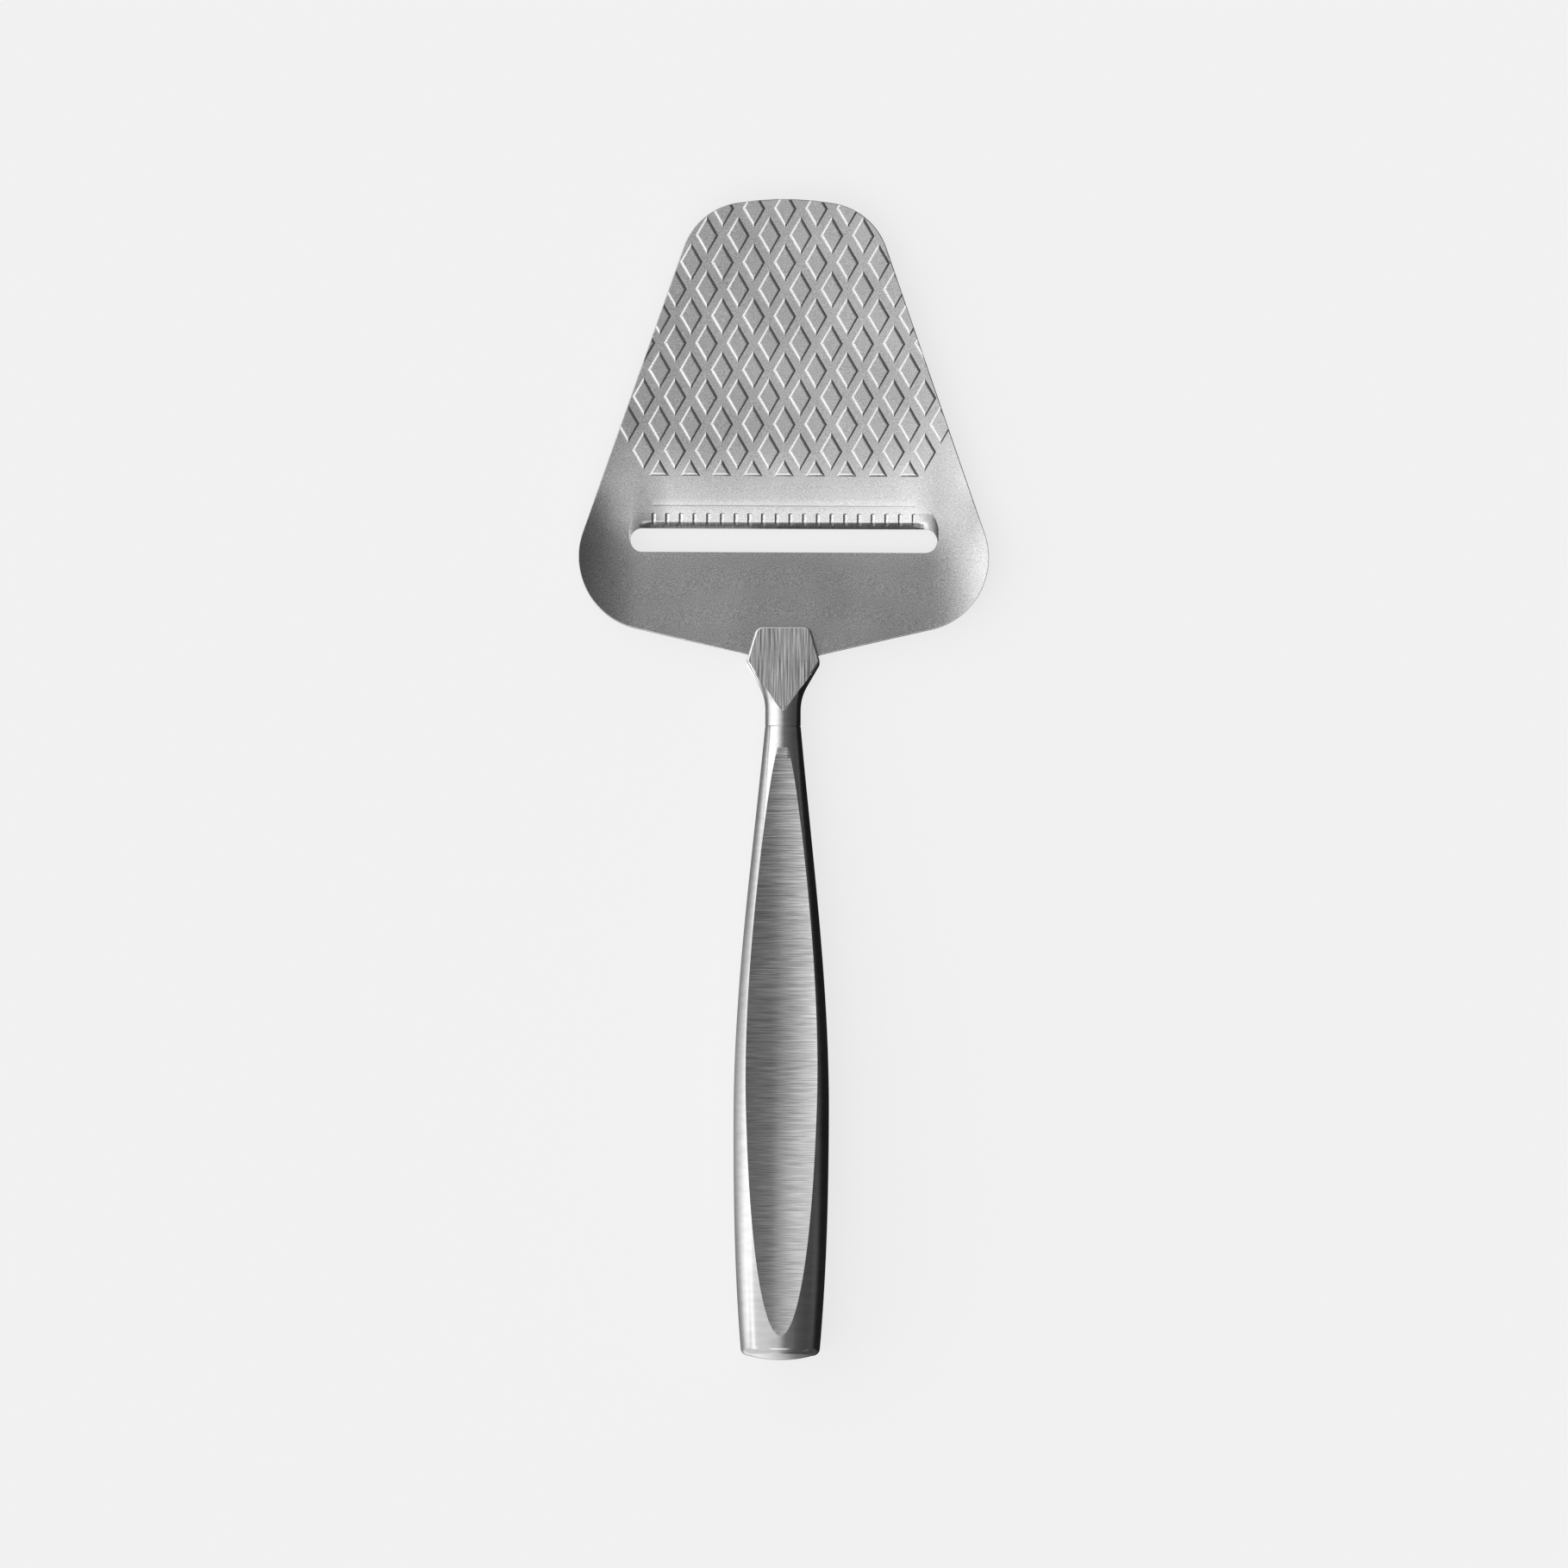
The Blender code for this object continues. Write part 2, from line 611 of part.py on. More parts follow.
def spindle_profile(front_y, inset, steps):
    """Half section of the handle, drawn in by a given depth, from its front down to the butt."""
    corner = max(BUTT_CORNER - inset, BUTT_CORNER / 4)
    corner_y = BUTT_Y + BUTT_DOME + inset + corner
    points = [(0.0, front_y)]
    for step in range(steps + 1):
        y = front_y + (corner_y - front_y) * step / steps
        points.append((spindle_radius(y) - inset, y))
    rim = points[-1][0] - corner
    for step in range(1, BUTT_STEPS):
        angle = math.pi / 2 * step / BUTT_STEPS
        points.append((rim + corner * math.cos(angle), corner_y - corner * math.sin(angle)))
    for step in range(BUTT_STEPS + 1):
        share = 1.0 - step / BUTT_STEPS
        points.append((rim * share, BUTT_Y + inset + BUTT_DOME * share ** 2))
    return points


def thumb_flat_height(x, y):
    """Height of the hollow-ground thumb flat above the handle's axis."""
    t = (FLAT_FRONT_Y - y) / (FLAT_FRONT_Y - FLAT_REAR_Y)
    along = FLAT_FRONT_HEIGHT + (FLAT_REAR_HEIGHT - FLAT_FRONT_HEIGHT) * t
    hollow = FLAT_HOLLOW_RADIUS - math.sqrt(FLAT_HOLLOW_RADIUS ** 2 - x ** 2)
    return along - 4.0 * FLAT_DIP * t * (1.0 - t) + hollow


def thumb_grinder(name, inset, cutters, axis):
    """What the grinding takes off: a slab whose underside is the hollow flat and whose front is blunt."""
    wide = BELLY_RADIUS + OVERCUT / 3
    bm = bmesh.new()
    bmesh.ops.create_grid(bm, x_segments=FLAT_STEPS_ACROSS, y_segments=FLAT_STEPS_ALONG, size=0.5)
    upper = bmesh.ops.extrude_face_region(bm, geom=list(bm.faces))
    upper_verts = {vert for vert in upper["geom"] if isinstance(vert, bmesh.types.BMVert)}
    front = FLAT_FRONT_Y + inset
    back = BUTT_Y - OVERCUT
    for vert in bm.verts:
        x = vert.co.x * 2 * wide
        y = (front + back) / 2 + vert.co.y * (front - back)
        z = BELLY_RADIUS + OVERCUT if vert in upper_verts else thumb_flat_height(x, y) - inset
        vert.co = (x, y, z)
    return as_cutter(from_bmesh(name, bm, cutters, axis))


def rest_grinder(name, inset, cutters):
    """The resting flat: everything under the table's level, less the depth asked for."""
    wide = BELLY_RADIUS + OVERCUT
    low = (-wide, BUTT_Y - OVERCUT, -2 * wide)
    return as_cutter(block(name, low, (wide, COLLAR_Y, inset), cutters, None))


def ground_spindle(name, front_y, inset, collection, cutters, axis):
    """The handle's turned form with both flats ground, drawn in by a given depth."""
    hidden = inset > 0.0
    profile = spindle_profile(front_y, inset, HIDDEN_PROFILE_STEPS if hidden else PROFILE_STEPS)
    spindle = turned(name, profile, collection, axis, HIDDEN_TURN_STEPS if hidden else TURN_STEPS)
    boolean(spindle, "DIFFERENCE", thumb_grinder(f"{name}_thumb_flat", inset, cutters, axis))
    boolean(spindle, "DIFFERENCE", rest_grinder(f"{name}_rest_flat", inset, cutters))
    return spindle


def make_shell(name, side, cavity, parts, cutters, axis):
    """One half of the handle: the ground spindle, hollowed and parted at the seam."""
    shell = ground_spindle(name, COLLAR_Y - FIT, 0.0, parts, cutters, axis)
    boolean(shell, "DIFFERENCE", cavity)
    wide = BELLY_RADIUS + OVERCUT
    inner = side * FIT / 2
    outer = -side * 2 * wide
    low = (-wide, BUTT_Y - OVERCUT, min(inner, outer))
    high = (wide, COLLAR_Y + OVERCUT, max(inner, outer))
    boolean(shell, "DIFFERENCE", as_cutter(block(f"{name}_seam", low, high, cutters, axis)))
    shell.data.materials.append(steel(f"{name}_polished_steel", (0.55, 0.55, 0.55), 0.22))
    return shell


def make_filling(parts, cutters, axis):
    """Hard filling that holds the tang inside the two shells."""
    inset = WALL + FIT
    filling = ground_spindle("handle_filling", FILLING_FRONT_Y, inset, parts, cutters, axis)
    rod_end = COLLAR_Y - TANG_ROD_LENGTH - FIT
    bore = [
        (0.0, COLLAR_Y),
        (TANG_ROD_RADIUS + FIT, COLLAR_Y),
        (TANG_ROD_RADIUS + FIT, rod_end),
        (0.0, rod_end),
    ]
    boolean(filling, "DIFFERENCE", as_cutter(turned("tang_bore", bore, cutters, axis)))
    filling.data.materials.append(steel("mineral_filling", (0.32, 0.3, 0.27), 0.8, 0.0))
    return filling


def make_slicer():
    clear_scene()
    parts = new_collection("cheese_slicer")
    cutters = new_collection("cutters")
    axis = bpy.data.objects.new("handle_axis", None)
    parts.objects.link(axis)
    axis.location = (0.0, 0.0, AXIS_LIFT)
    axis.rotation_euler = (-AXIS_LEAN, 0.0, 0.0)
    make_blade(parts, cutters, axis)
    make_bolster(parts, cutters, axis)
    cavity = as_cutter(ground_spindle("cavity", COLLAR_Y + OVERCUT, WALL, cutters, cutters, axis))
    make_shell("handle_front_shell", 1.0, cavity, parts, cutters, axis)
    make_shell("handle_back_shell", -1.0, cavity, parts, cutters, axis)
    make_filling(parts, cutters, axis)


make_slicer()
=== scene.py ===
import math

import bmesh
import bpy
from mathutils import Matrix, Vector


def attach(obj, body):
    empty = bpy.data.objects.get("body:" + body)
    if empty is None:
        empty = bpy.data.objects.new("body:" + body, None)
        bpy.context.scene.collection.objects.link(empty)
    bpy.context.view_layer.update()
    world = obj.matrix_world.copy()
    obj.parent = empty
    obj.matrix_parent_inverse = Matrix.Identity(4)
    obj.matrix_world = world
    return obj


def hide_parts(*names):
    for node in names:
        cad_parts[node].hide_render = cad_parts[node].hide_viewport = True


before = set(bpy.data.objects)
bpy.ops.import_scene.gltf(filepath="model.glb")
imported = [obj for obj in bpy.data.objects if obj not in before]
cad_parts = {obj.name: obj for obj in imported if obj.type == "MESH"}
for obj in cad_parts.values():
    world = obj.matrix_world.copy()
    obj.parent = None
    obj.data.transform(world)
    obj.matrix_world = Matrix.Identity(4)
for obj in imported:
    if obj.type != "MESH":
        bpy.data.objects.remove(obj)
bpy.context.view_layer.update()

# Sizes are in millimetres about the handle's axis: +Y runs to the blade's tip, +Z to the thumb side.
# Places along the axis, measured from the middle of the slicer's length
TIP_Y = 125.0
BUTT_Y = -125.0
COLLAR_Y = 11.6
PAD_FRONT_Y = 33.0

# Blade: a pressed sheet, drawn as a polygon whose corners are rounded
SHEET = 1.3
TIP_LEAN = math.radians(9.45)
TIP_RADIUS = 62.0
TIP_CORNER_RADIUS = 14.5
TIP_STRAIGHT = 0.35
SIDE_ANGLE = math.radians(19.25)
SHOULDER_RADIUS = 15.8
REAR_ANGLE = math.radians(13.1)
REAR_ROOT_Y = 26.82
TANG_ROOT_HALF = 7.5
TANG_ROOT_RADIUS = 1.8
TANG_END_HALF = 3.2
TANG_END_Y = 19.5
TANG_END_RADIUS = 1.0
RIM_RADIUS = 0.14
RIM_STEPS = 4
RIM_LAND = 0.12

# Wings, the soft bend at the slot, and the lip pressed down along the slot's tip side
WING_START = 29.0
WING_REACH = 15.2
WING_RISE = 2.5
WING_FADE_Y = 48.0
WING_FADE_RUN = 16.0
WING_FADE = 0.65
DISH_RADIUS = 750.0
DISH_Y = 59.0
DISH_RUN = 40.0
CROWN_SHARE = 0.2
BEND_ANGLE = math.radians(4.0)
BEND_RUN = 10.0
SLOT_LENGTH = 66.0
SLOT_WIDTH = 5.1
SLOT_Y = 51.55
SLOT_END_STRAIGHT = 0.1
LIP_LENGTH = 5.0
LIP_ANGLE = math.radians(2.0)
LIP_BEND_RUN = 1.5
BAND_ANGLE = math.radians(3.5)
BAND_RUN = 13.0
LIP_END_BLEND = 9.0
RIDGE_HEIGHT_LEFT = 0.07
RIDGE_HEIGHT_RIGHT = 0.24
RIDGE_LENGTH = 4.6
RIDGE_BASE_Y = 52.9
RIDGE_FOOT = 33.3
RIDGE_SWEEP = 1.4
RIDGE_WIDTH = 1.3
RIDGE_FADE = 4.0
PRESS_LINE_HALF = 28.8
PRESS_LINE_FADE = 1.0
PRESS_LINE_WIDTH = 0.3
PRESS_LINE_DEPTH = 0.012
EDGE_BEVEL = 1.6
EDGE_LAND = 0.2
EDGE_SOFT = 0.6
EDGE_END = 31.3
EDGE_END_BLEND = 3.0
EDGE_Y = SLOT_Y + SLOT_WIDTH / 2

# Flutes that run up the lip from just behind the edge
FLUTE_COUNT = 20
FLUTE_PITCH = 2.95
FLUTE_RADIUS = 0.85
FLUTE_DEPTH = 0.175
FLUTE_LENGTH = 2.9
FLUTE_SETBACK = 0.55
FLUTE_END_RADIUS = 0.3
FLUTE_SIDES = 24
FLUTE_RUNS = 8
FLUTE_FOLLOW = 0.85

# Raised diamonds in rows that step half a pitch sideways; a shoulder is (distance in from the foot, height)
DIAMOND_WIDTH = 4.92
DIAMOND_LENGTH = 8.46
DIAMOND_PITCH = 6.73
DIAMOND_ROW_PITCH = 5.8
DIAMOND_SHOULDER = ((0.28, 0.215), (0.42, 0.258), (0.56, 0.276), (0.68, 0.28))
DIAMOND_LAND = 0.06
DIAMOND_CORNER = 0.07
DIAMOND_SINK = 0.2
PATTERN_BASE_Y = 65.35
PATTERN_FIRST_ROW_Y = 64.9
PATTERN_HALF = 36.0

# Bolster: a turned trumpet, trimmed to a shield and ground flat above and below;
# the pad's rim is (distance in from the outline, depth below the flat)
PAD_FRONT_HALF = 5.7
PAD_HALF = 8.05
PAD_CORNER_RADIUS = 2.0
PAD_WAIST_RADIUS = 2.5
PAD_WAIST_CLEAR = 0.05
PAD_FRONT_HEIGHT = 1.6
PAD_TAIL_Y = 14.8
PAD_RIM = ((0.0, 0.32), (0.1, 0.18), (0.22, 0.09), (0.38, 0.0))
PAD_RIM_Y = 22.0
PAD_RIM_FADE = 3.5
NECK_RADIUS = 3.82
NECK_BLEND_Y = 17.75
NECK_BLEND_RADIUS = 10.0
TRUMPET_ANGLE = math.radians(30.0)
TANG_ROD_RADIUS = 2.6
TANG_ROD_LENGTH = 48.0
TANG_ROD_POINT = 1.2

# Handle: a spindle pressed in two half shells, with a hollow-ground thumb flat and a resting flat
BELLY_RADIUS = 10.28
BELLY_Y = -72.0
BUTT_RADIUS = 8.55
BUTT_CORNER = 1.6
BUTT_DOME = 0.95
NECK_FLARE = 0.0925
BUTT_TAPER = 0.085
WALL = 1.0
FLAT_FRONT_Y = 6.85
FLAT_FRONT_HEIGHT = 4.11
FLAT_REAR_Y = -120.5
FLAT_REAR_HEIGHT = 8.77
FLAT_DIP = 0.95
FLAT_HOLLOW_RADIUS = 36.0
REST_REAR_HEIGHT = 8.42
BOLSTER_LIFT = 0.3

# Hairlines where two pieces meet
SEAM = 0.03
JOINT = 0.1
JOINT_EDGE = 0.06

# How far a cutter reaches past the piece that it cuts, and how fine the curves are drawn
OVERCUT = 6.0
ARC_STEP = math.radians(4.0)
CUT_TRIES = 6
WELD = 0.0001
POLE_WELD = 0.0005
TURN_STEPS = 144
SHARP_ANGLE = math.radians(25.0)
BUTT_CORNER_STEPS = 10
BUTT_DOME_STEPS = 12
# Steps along the handle's profile and round it, then across and along its thumb flat
OUTER_STEPS = (144, TURN_STEPS, 30, 120)
CAVITY_STEPS = (14, 36, 10, 14)

# Into how many strips the sheet is ruled where it bends: first across the blade, then along it
PLATE_STRIPS = 8
WING_STRIPS = 14
LIP_END_STRIPS = 10
RIDGE_WIDTH_STRIPS = 27
EDGE_END_STRIPS = 4
BEND_STRIPS = 8
RIDGE_LENGTH_STRIPS = 16
CREASE_STRIPS = 5
EDGE_STRIPS = 3
DISH_STRIPS = 14
BAND_STRIPS = 10
TIP_STRIPS = 6

# How far off a ground flat a face may lie, and how squarely it has to face the same way
ON_PAD = (0.02, 0.99)
ON_THUMB_FLAT = (0.02, 0.8)
ON_GROUND_PLANE = (0.01, 0.999)
BEVEL_FACING = 0.3

MM = 0.001
AXIS_LEAN = math.asin((REST_REAR_HEIGHT - NECK_RADIUS - BOLSTER_LIFT) / (PAD_TAIL_Y - FLAT_REAR_Y))
AXIS_LIFT = NECK_RADIUS + BOLSTER_LIFT + PAD_TAIL_Y * math.sin(AXIS_LEAN)
LEAN = Matrix.Translation((0.0, 0.0, AXIS_LIFT)) @ Matrix.Rotation(-AXIS_LEAN, 4, "X")
# Drawn a hair under size, so that the finer curves stay inside the solids' box
TRIM = 0.9995
TO_FRAME = Matrix.Scale(MM * TRIM, 4) @ LEAN


# Drawing and cutting

def draw(bm, corners, closed=True):
    """Straight runs joined by spun arcs through (x, y, radius) corners."""
    runs = []
    for index, (x, y, radius) in enumerate(corners):
        corner = Vector((x, y, 0.0))
        if radius == 0.0:
            vert = bm.verts.new(corner)
            runs.append((vert, vert))
            continue
        before = (Vector((*corners[index - 1][:2], 0.0)) - corner).normalized()
        after = (Vector((*corners[(index + 1) % len(corners)][:2], 0.0)) - corner).normalized()
        turn = math.pi - before.angle(after)
        centre = corner + (before + after).normalized() * radius / math.cos(turn / 2)
        start = bm.verts.new(corner + before * radius * math.tan(turn / 2))
        arc = bmesh.ops.spin(
            bm, geom=[start], cent=centre, axis=(0.0, 0.0, 1.0), steps=max(2, math.ceil(turn / ARC_STEP)),
            angle=math.copysign(turn, after.cross(before).z))
        runs.append((start, arc["geom_last"][0]))
    for (_, end), (start, _) in zip(runs, runs[1:] + runs[:1] if closed else runs[1:]):
        bm.edges.new((end, start))


def outward(bm):
    """Turns every face outwards."""
    bm.normal_update()
    bmesh.ops.recalc_face_normals(bm, faces=bm.faces)
    if bm.calc_volume(signed=True) < 0.0:
        bmesh.ops.reverse_faces(bm, faces=bm.faces)
    return bm


def mirrored(right_half):
    """A closed outline from its right half, listed from the front to the back."""
    return right_half + [(-x, y, radius) for x, y, radius in reversed(right_half) if x > 0.0]


def plate(corners, low, high, shrink=0.0):
    """A flat outline with thickness, drawn in by a given margin."""
    bm = bmesh.new()
    draw(bm, corners)
    bmesh.ops.edgeloop_fill(bm, edges=bm.edges)
    if shrink:
        border = bmesh.ops.inset_region(
            bm, faces=bm.faces[:], thickness=shrink, use_boundary=True, use_even_offset=True)
        bmesh.ops.delete(bm, geom=border["faces"], context="FACES")
    bmesh.ops.translate(bm, verts=bm.verts, vec=(0.0, 0.0, low))
    thick = bmesh.ops.extrude_face_region(bm, geom=bm.faces[:], use_keep_orig=True)
    raised = [item for item in thick["geom"] if isinstance(item, bmesh.types.BMVert)]
    bmesh.ops.translate(bm, verts=raised, vec=(0.0, 0.0, high - low))
    return outward(bm)


def block(low, high):
    bm = bmesh.new()
    bmesh.ops.create_cube(bm, size=1.0)
    bmesh.ops.scale(bm, vec=Vector(high) - Vector(low), verts=bm.verts)
    bmesh.ops.translate(bm, vec=(Vector(high) + Vector(low)) / 2, verts=bm.verts)
    return bm


def turn_about_axis(bm, steps=TURN_STEPS):
    """Spins a profile once round the handle's axis and closes its poles."""
    bmesh.ops.spin(
        bm, geom=bm.verts[:] + bm.edges[:], cent=(0.0, 0.0, 0.0), axis=(0.0, 1.0, 0.0), angle=2 * math.pi,
        steps=steps, use_merge=True)
    bmesh.ops.remove_doubles(bm, verts=bm.verts, dist=POLE_WELD)
    return outward(bm)


def counts(mesh):
    return len(mesh.vertices), len(mesh.edges), len(mesh.polygons)


def combine(bm, operation, other):
    """Cuts, joins or trims one closed shape with another, again until two results in a row agree."""
    objects = []
    for shape in (bm, other):
        mesh = bpy.data.meshes.new("worked")
        shape.to_mesh(mesh)
        shape.free()
        worked = bpy.data.objects.new("worked", mesh)
        bpy.context.scene.collection.objects.link(worked)
        objects.append(worked)
    results = []
    while len(results) < CUT_TRIES and (len(results) < 2 or counts(results[-1]) != counts(results[-2])):
        modifier = objects[0].modifiers.new("worked", "BOOLEAN")
        modifier.operation = operation
        modifier.object = objects[1]
        modifier.solver = "EXACT"
        bpy.context.view_layer.update()
        evaluated = objects[0].evaluated_get(bpy.context.evaluated_depsgraph_get())
        results.append(bpy.data.meshes.new_from_object(evaluated))
        objects[0].modifiers.remove(modifier)
    done = bmesh.new()
    done.from_mesh(results[-1])
    used = results + [worked.data for worked in objects]
    for worked in objects:
        bpy.data.objects.remove(worked)
    for mesh in used:
        bpy.data.meshes.remove(mesh)
    return done


def slice_off(bm, point, normal):
    """Takes away what lies past a plane and closes the cut."""
    bmesh.ops.bisect_plane(
        bm, geom=bm.verts[:] + bm.edges[:] + bm.faces[:], dist=WELD, plane_co=point, plane_no=normal,
        clear_outer=True)
    bmesh.ops.holes_fill(bm, edges=[edge for edge in bm.edges if edge.is_boundary], sides=0)


def lies_on(place, normal, point, out, gap, facing):
    """Whether a face lies on a ground plane."""
    return abs((place - point).dot(out)) < gap and normal.dot(out) > facing


def finished(name, bm, node_name, finishes, finish_of, crisp=True):
    """Gives a shape its finishes and its place in the frame, and stands it in for its CAD node.

    A crisp shape keeps a sharp edge wherever one finish meets another.
    """
    bm.normal_update()
    for face in bm.faces:
        face.smooth = True
        face.material_index = finish_of(face.calc_center_median(), face.normal)
    for edge in bm.edges:
        border = crisp and len({face.material_index for face in edge.link_faces}) > 1
        edge.smooth = not border and edge.calc_face_angle(0.0) < SHARP_ANGLE
    bmesh.ops.transform(bm, matrix=TO_FRAME, verts=bm.verts)
    mesh = bpy.data.meshes.new(name)
    bm.to_mesh(mesh)
    bm.free()
    for finish in finishes:
        mesh.materials.append(finish)
    piece = bpy.data.objects.new(name, mesh)
    bpy.context.scene.collection.objects.link(piece)
    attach(piece, "root")
    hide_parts(node_name)
    return piece


# Finishes

def linear(hex_code):
    shares = [int(hex_code[place:place + 2], 16) / 255 for place in (1, 3, 5)]
    return [*(s / 12.92 if s <= 0.04045 else ((s + 0.055) / 1.055) ** 2.4 for s in shares), 1.0]


def add(tree, kind, settings=None, inputs=None):
    """Adds a node with its settings; an input is a value or another node's output."""
    made = tree.nodes.new(kind)
    for name, value in (settings or {}).items():
        setattr(made, name, value)
    for name, value in (inputs or {}).items():
        if isinstance(value, bpy.types.NodeSocket):
            tree.links.new(value, made.inputs[name])
        else:
            made.inputs[name].default_value = value
    return made


def set_stops(ramp, stops):
    """Sets a ramp's colours at the given places."""
    elements = ramp.color_ramp.elements
    while len(elements) < len(stops):
        elements.new(1.0)
    for element, (position, colour) in zip(elements, stops):
        element.position = position
        element.color = colour


def grey(tone):
    return (tone, tone, tone, 1.0)


def fresh(name):
    material = bpy.data.materials.new(name)
    material.use_nodes = True
    tree = material.node_tree
    tree.nodes.clear()
    return material, tree


def per_metre(millimetres):
    """Pattern scale for a feature of a given size, because Object coordinates are in metres."""
    return 1.0 / (millimetres * MM)


# Real bead marks are about 0.05 mm across and real scratches about 0.02 mm: too fine to show from above,
# so each is drawn as coarse as it needs to be. Sizes in millimetres.
BEAD_MARK = 0.22
BEAD_DENT = 0.02
BLAST_CLOUD = 14.0
CLOUD_SHARE = 0.2
SAND_GRAIN = 0.6
SAND_DENT = 0.08
# A broader set of scratches lies among the fine ones
BROAD_SCALE = 0.23
BROAD_SHARE = 0.12
# How far the streaks of light are turned from a ring round the handle
LENGTHWISE = 0.0
CROSSWISE = 0.25


def bead_blasted_stainless():
    """Stainless sheet blasted with fine glass beads: a soft grey sheen with an even sandy grain."""
    material, tree = fresh("bead_blasted_stainless")
    place = add(tree, "ShaderNodeTexCoord").outputs["Object"]
    grain = add(tree, "ShaderNodeTexNoise", None, {
        "Vector": place, "Scale": per_metre(BEAD_MARK), "Detail": 2.0, "Roughness": 0.5})
    cloud = add(tree, "ShaderNodeTexNoise", None, {
        "Vector": place, "Scale": per_metre(BLAST_CLOUD), "Detail": 2.0, "Roughness": 0.5})
    both = add(tree, "ShaderNodeMix", {"data_type": "FLOAT"}, {
        "Factor": CLOUD_SHARE, "A": grain.outputs["Fac"], "B": cloud.outputs["Fac"]})
    colour = add(tree, "ShaderNodeValToRGB", None, {"Fac": both.outputs["Result"]})
    set_stops(colour, ((0.32, linear("#9A9A9A")), (0.68, linear("#CCCCCC"))))
    rough = add(tree, "ShaderNodeMapRange", None, {
        "Value": both.outputs["Result"], "From Min": 0.3, "From Max": 0.7, "To Min": 0.2, "To Max": 0.28})
    bump = add(tree, "ShaderNodeBump", None, {
        "Strength": 0.25, "Distance": BEAD_DENT * MM, "Height": grain.outputs["Fac"]})
    steel = add(tree, "ShaderNodeBsdfPrincipled", None, {
        "Base Color": colour.outputs["Color"], "Metallic": 1.0, "Roughness": rough.outputs["Result"],
        "Normal": bump.outputs["Normal"]})
    add(tree, "ShaderNodeOutputMaterial", None, {"Surface": steel.outputs["BSDF"]})
    return material


def streaked_stainless(name, stretch, dark, light, rough, groove, anisotropy, turn):
    """Stainless drawn over abrasive: parallel scratches of uneven depth, long one way and thin the other."""
    material, tree = fresh(name)
    place = add(tree, "ShaderNodeTexCoord").outputs["Object"]
    drawn = add(tree, "ShaderNodeMapping", None, {
        "Vector": place, "Scale": [per_metre(size) for size in stretch]})
    fine = add(tree, "ShaderNodeTexNoise", None, {
        "Vector": drawn.outputs["Vector"], "Scale": 1.0, "Detail": 2.0, "Roughness": 0.5})
    broad = add(tree, "ShaderNodeTexNoise", None, {
        "Vector": drawn.outputs["Vector"], "Scale": BROAD_SCALE, "Detail": 2.0, "Roughness": 0.5})
    both = add(tree, "ShaderNodeMix", {"data_type": "FLOAT"}, {
        "Factor": BROAD_SHARE, "A": fine.outputs["Fac"], "B": broad.outputs["Fac"]})
    colour = add(tree, "ShaderNodeValToRGB", None, {"Fac": both.outputs["Result"]})
    set_stops(colour, ((0.3, linear(dark)), (0.7, linear(light))))
    uneven = add(tree, "ShaderNodeMapRange", None, {
        "Value": both.outputs["Result"], "From Min": 0.3, "From Max": 0.7,
        "To Min": rough[0], "To Max": rough[1]})
    bump = add(tree, "ShaderNodeBump", None, {
        "Strength": 0.4, "Distance": groove * MM, "Height": fine.outputs["Fac"]})
    round_axis = add(tree, "ShaderNodeTangent", {"direction_type": "RADIAL", "axis": "Y"})
    steel = add(tree, "ShaderNodeBsdfPrincipled", None, {
        "Base Color": colour.outputs["Color"], "Metallic": 1.0, "Roughness": uneven.outputs["Result"],
        "Anisotropic": anisotropy, "Anisotropic Rotation": turn, "Normal": bump.outputs["Normal"],
        "Tangent": round_axis.outputs["Tangent"]})
    add(tree, "ShaderNodeOutputMaterial", None, {"Surface": steel.outputs["BSDF"]})
    return material


def mineral_filled_resin():
    """Casting resin full of fine mineral sand: dull and speckled, and hidden inside the handle."""
    material, tree = fresh("mineral_filled_resin")
    place = add(tree, "ShaderNodeTexCoord").outputs["Object"]
    sand = add(tree, "ShaderNodeTexNoise", None, {
        "Vector": place, "Scale": per_metre(SAND_GRAIN), "Detail": 4.0, "Roughness": 0.7})
    colour = add(tree, "ShaderNodeValToRGB", None, {"Fac": sand.outputs["Fac"]})
    set_stops(colour, ((0.35, linear("#8A857C")), (0.65, linear("#A8A297"))))
    bump = add(tree, "ShaderNodeBump", None, {
        "Strength": 0.5, "Distance": SAND_DENT * MM, "Height": sand.outputs["Fac"]})
    resin = add(tree, "ShaderNodeBsdfPrincipled", None, {
        "Base Color": colour.outputs["Color"], "Roughness": 0.8, "Normal": bump.outputs["Normal"]})
    add(tree, "ShaderNodeOutputMaterial", None, {"Surface": resin.outputs["BSDF"]})
    return material


# Blade

def bend_rise(past, run, angle):
    """Height gained along a bend that takes its whole run to reach its angle, and past it on the straight."""
    bent = min(max(past, 0.0), run)
    straight = max(past - run, 0.0)
    return math.tan(angle) * (bent ** 2 / (2 * run) + straight)


def soft_share(share):
    """From 0 to 1 with a soft start and a soft end."""
    share = min(max(share, 0.0), 1.0)
    return share * share * (3.0 - 2.0 * share)


def lip_drop(x, y):
    """The sheet is pressed down softly along a band over the slot, and the lip at its edge a step further."""
    into_lip = EDGE_Y + LIP_LENGTH - max(y, EDGE_Y)
    band = bend_rise(into_lip + BAND_RUN, BAND_RUN, BAND_ANGLE)
    lip = bend_rise(into_lip, LIP_BEND_RUN, LIP_ANGLE)
    return (band + lip) * soft_share((SLOT_LENGTH / 2 - abs(x)) / LIP_END_BLEND)


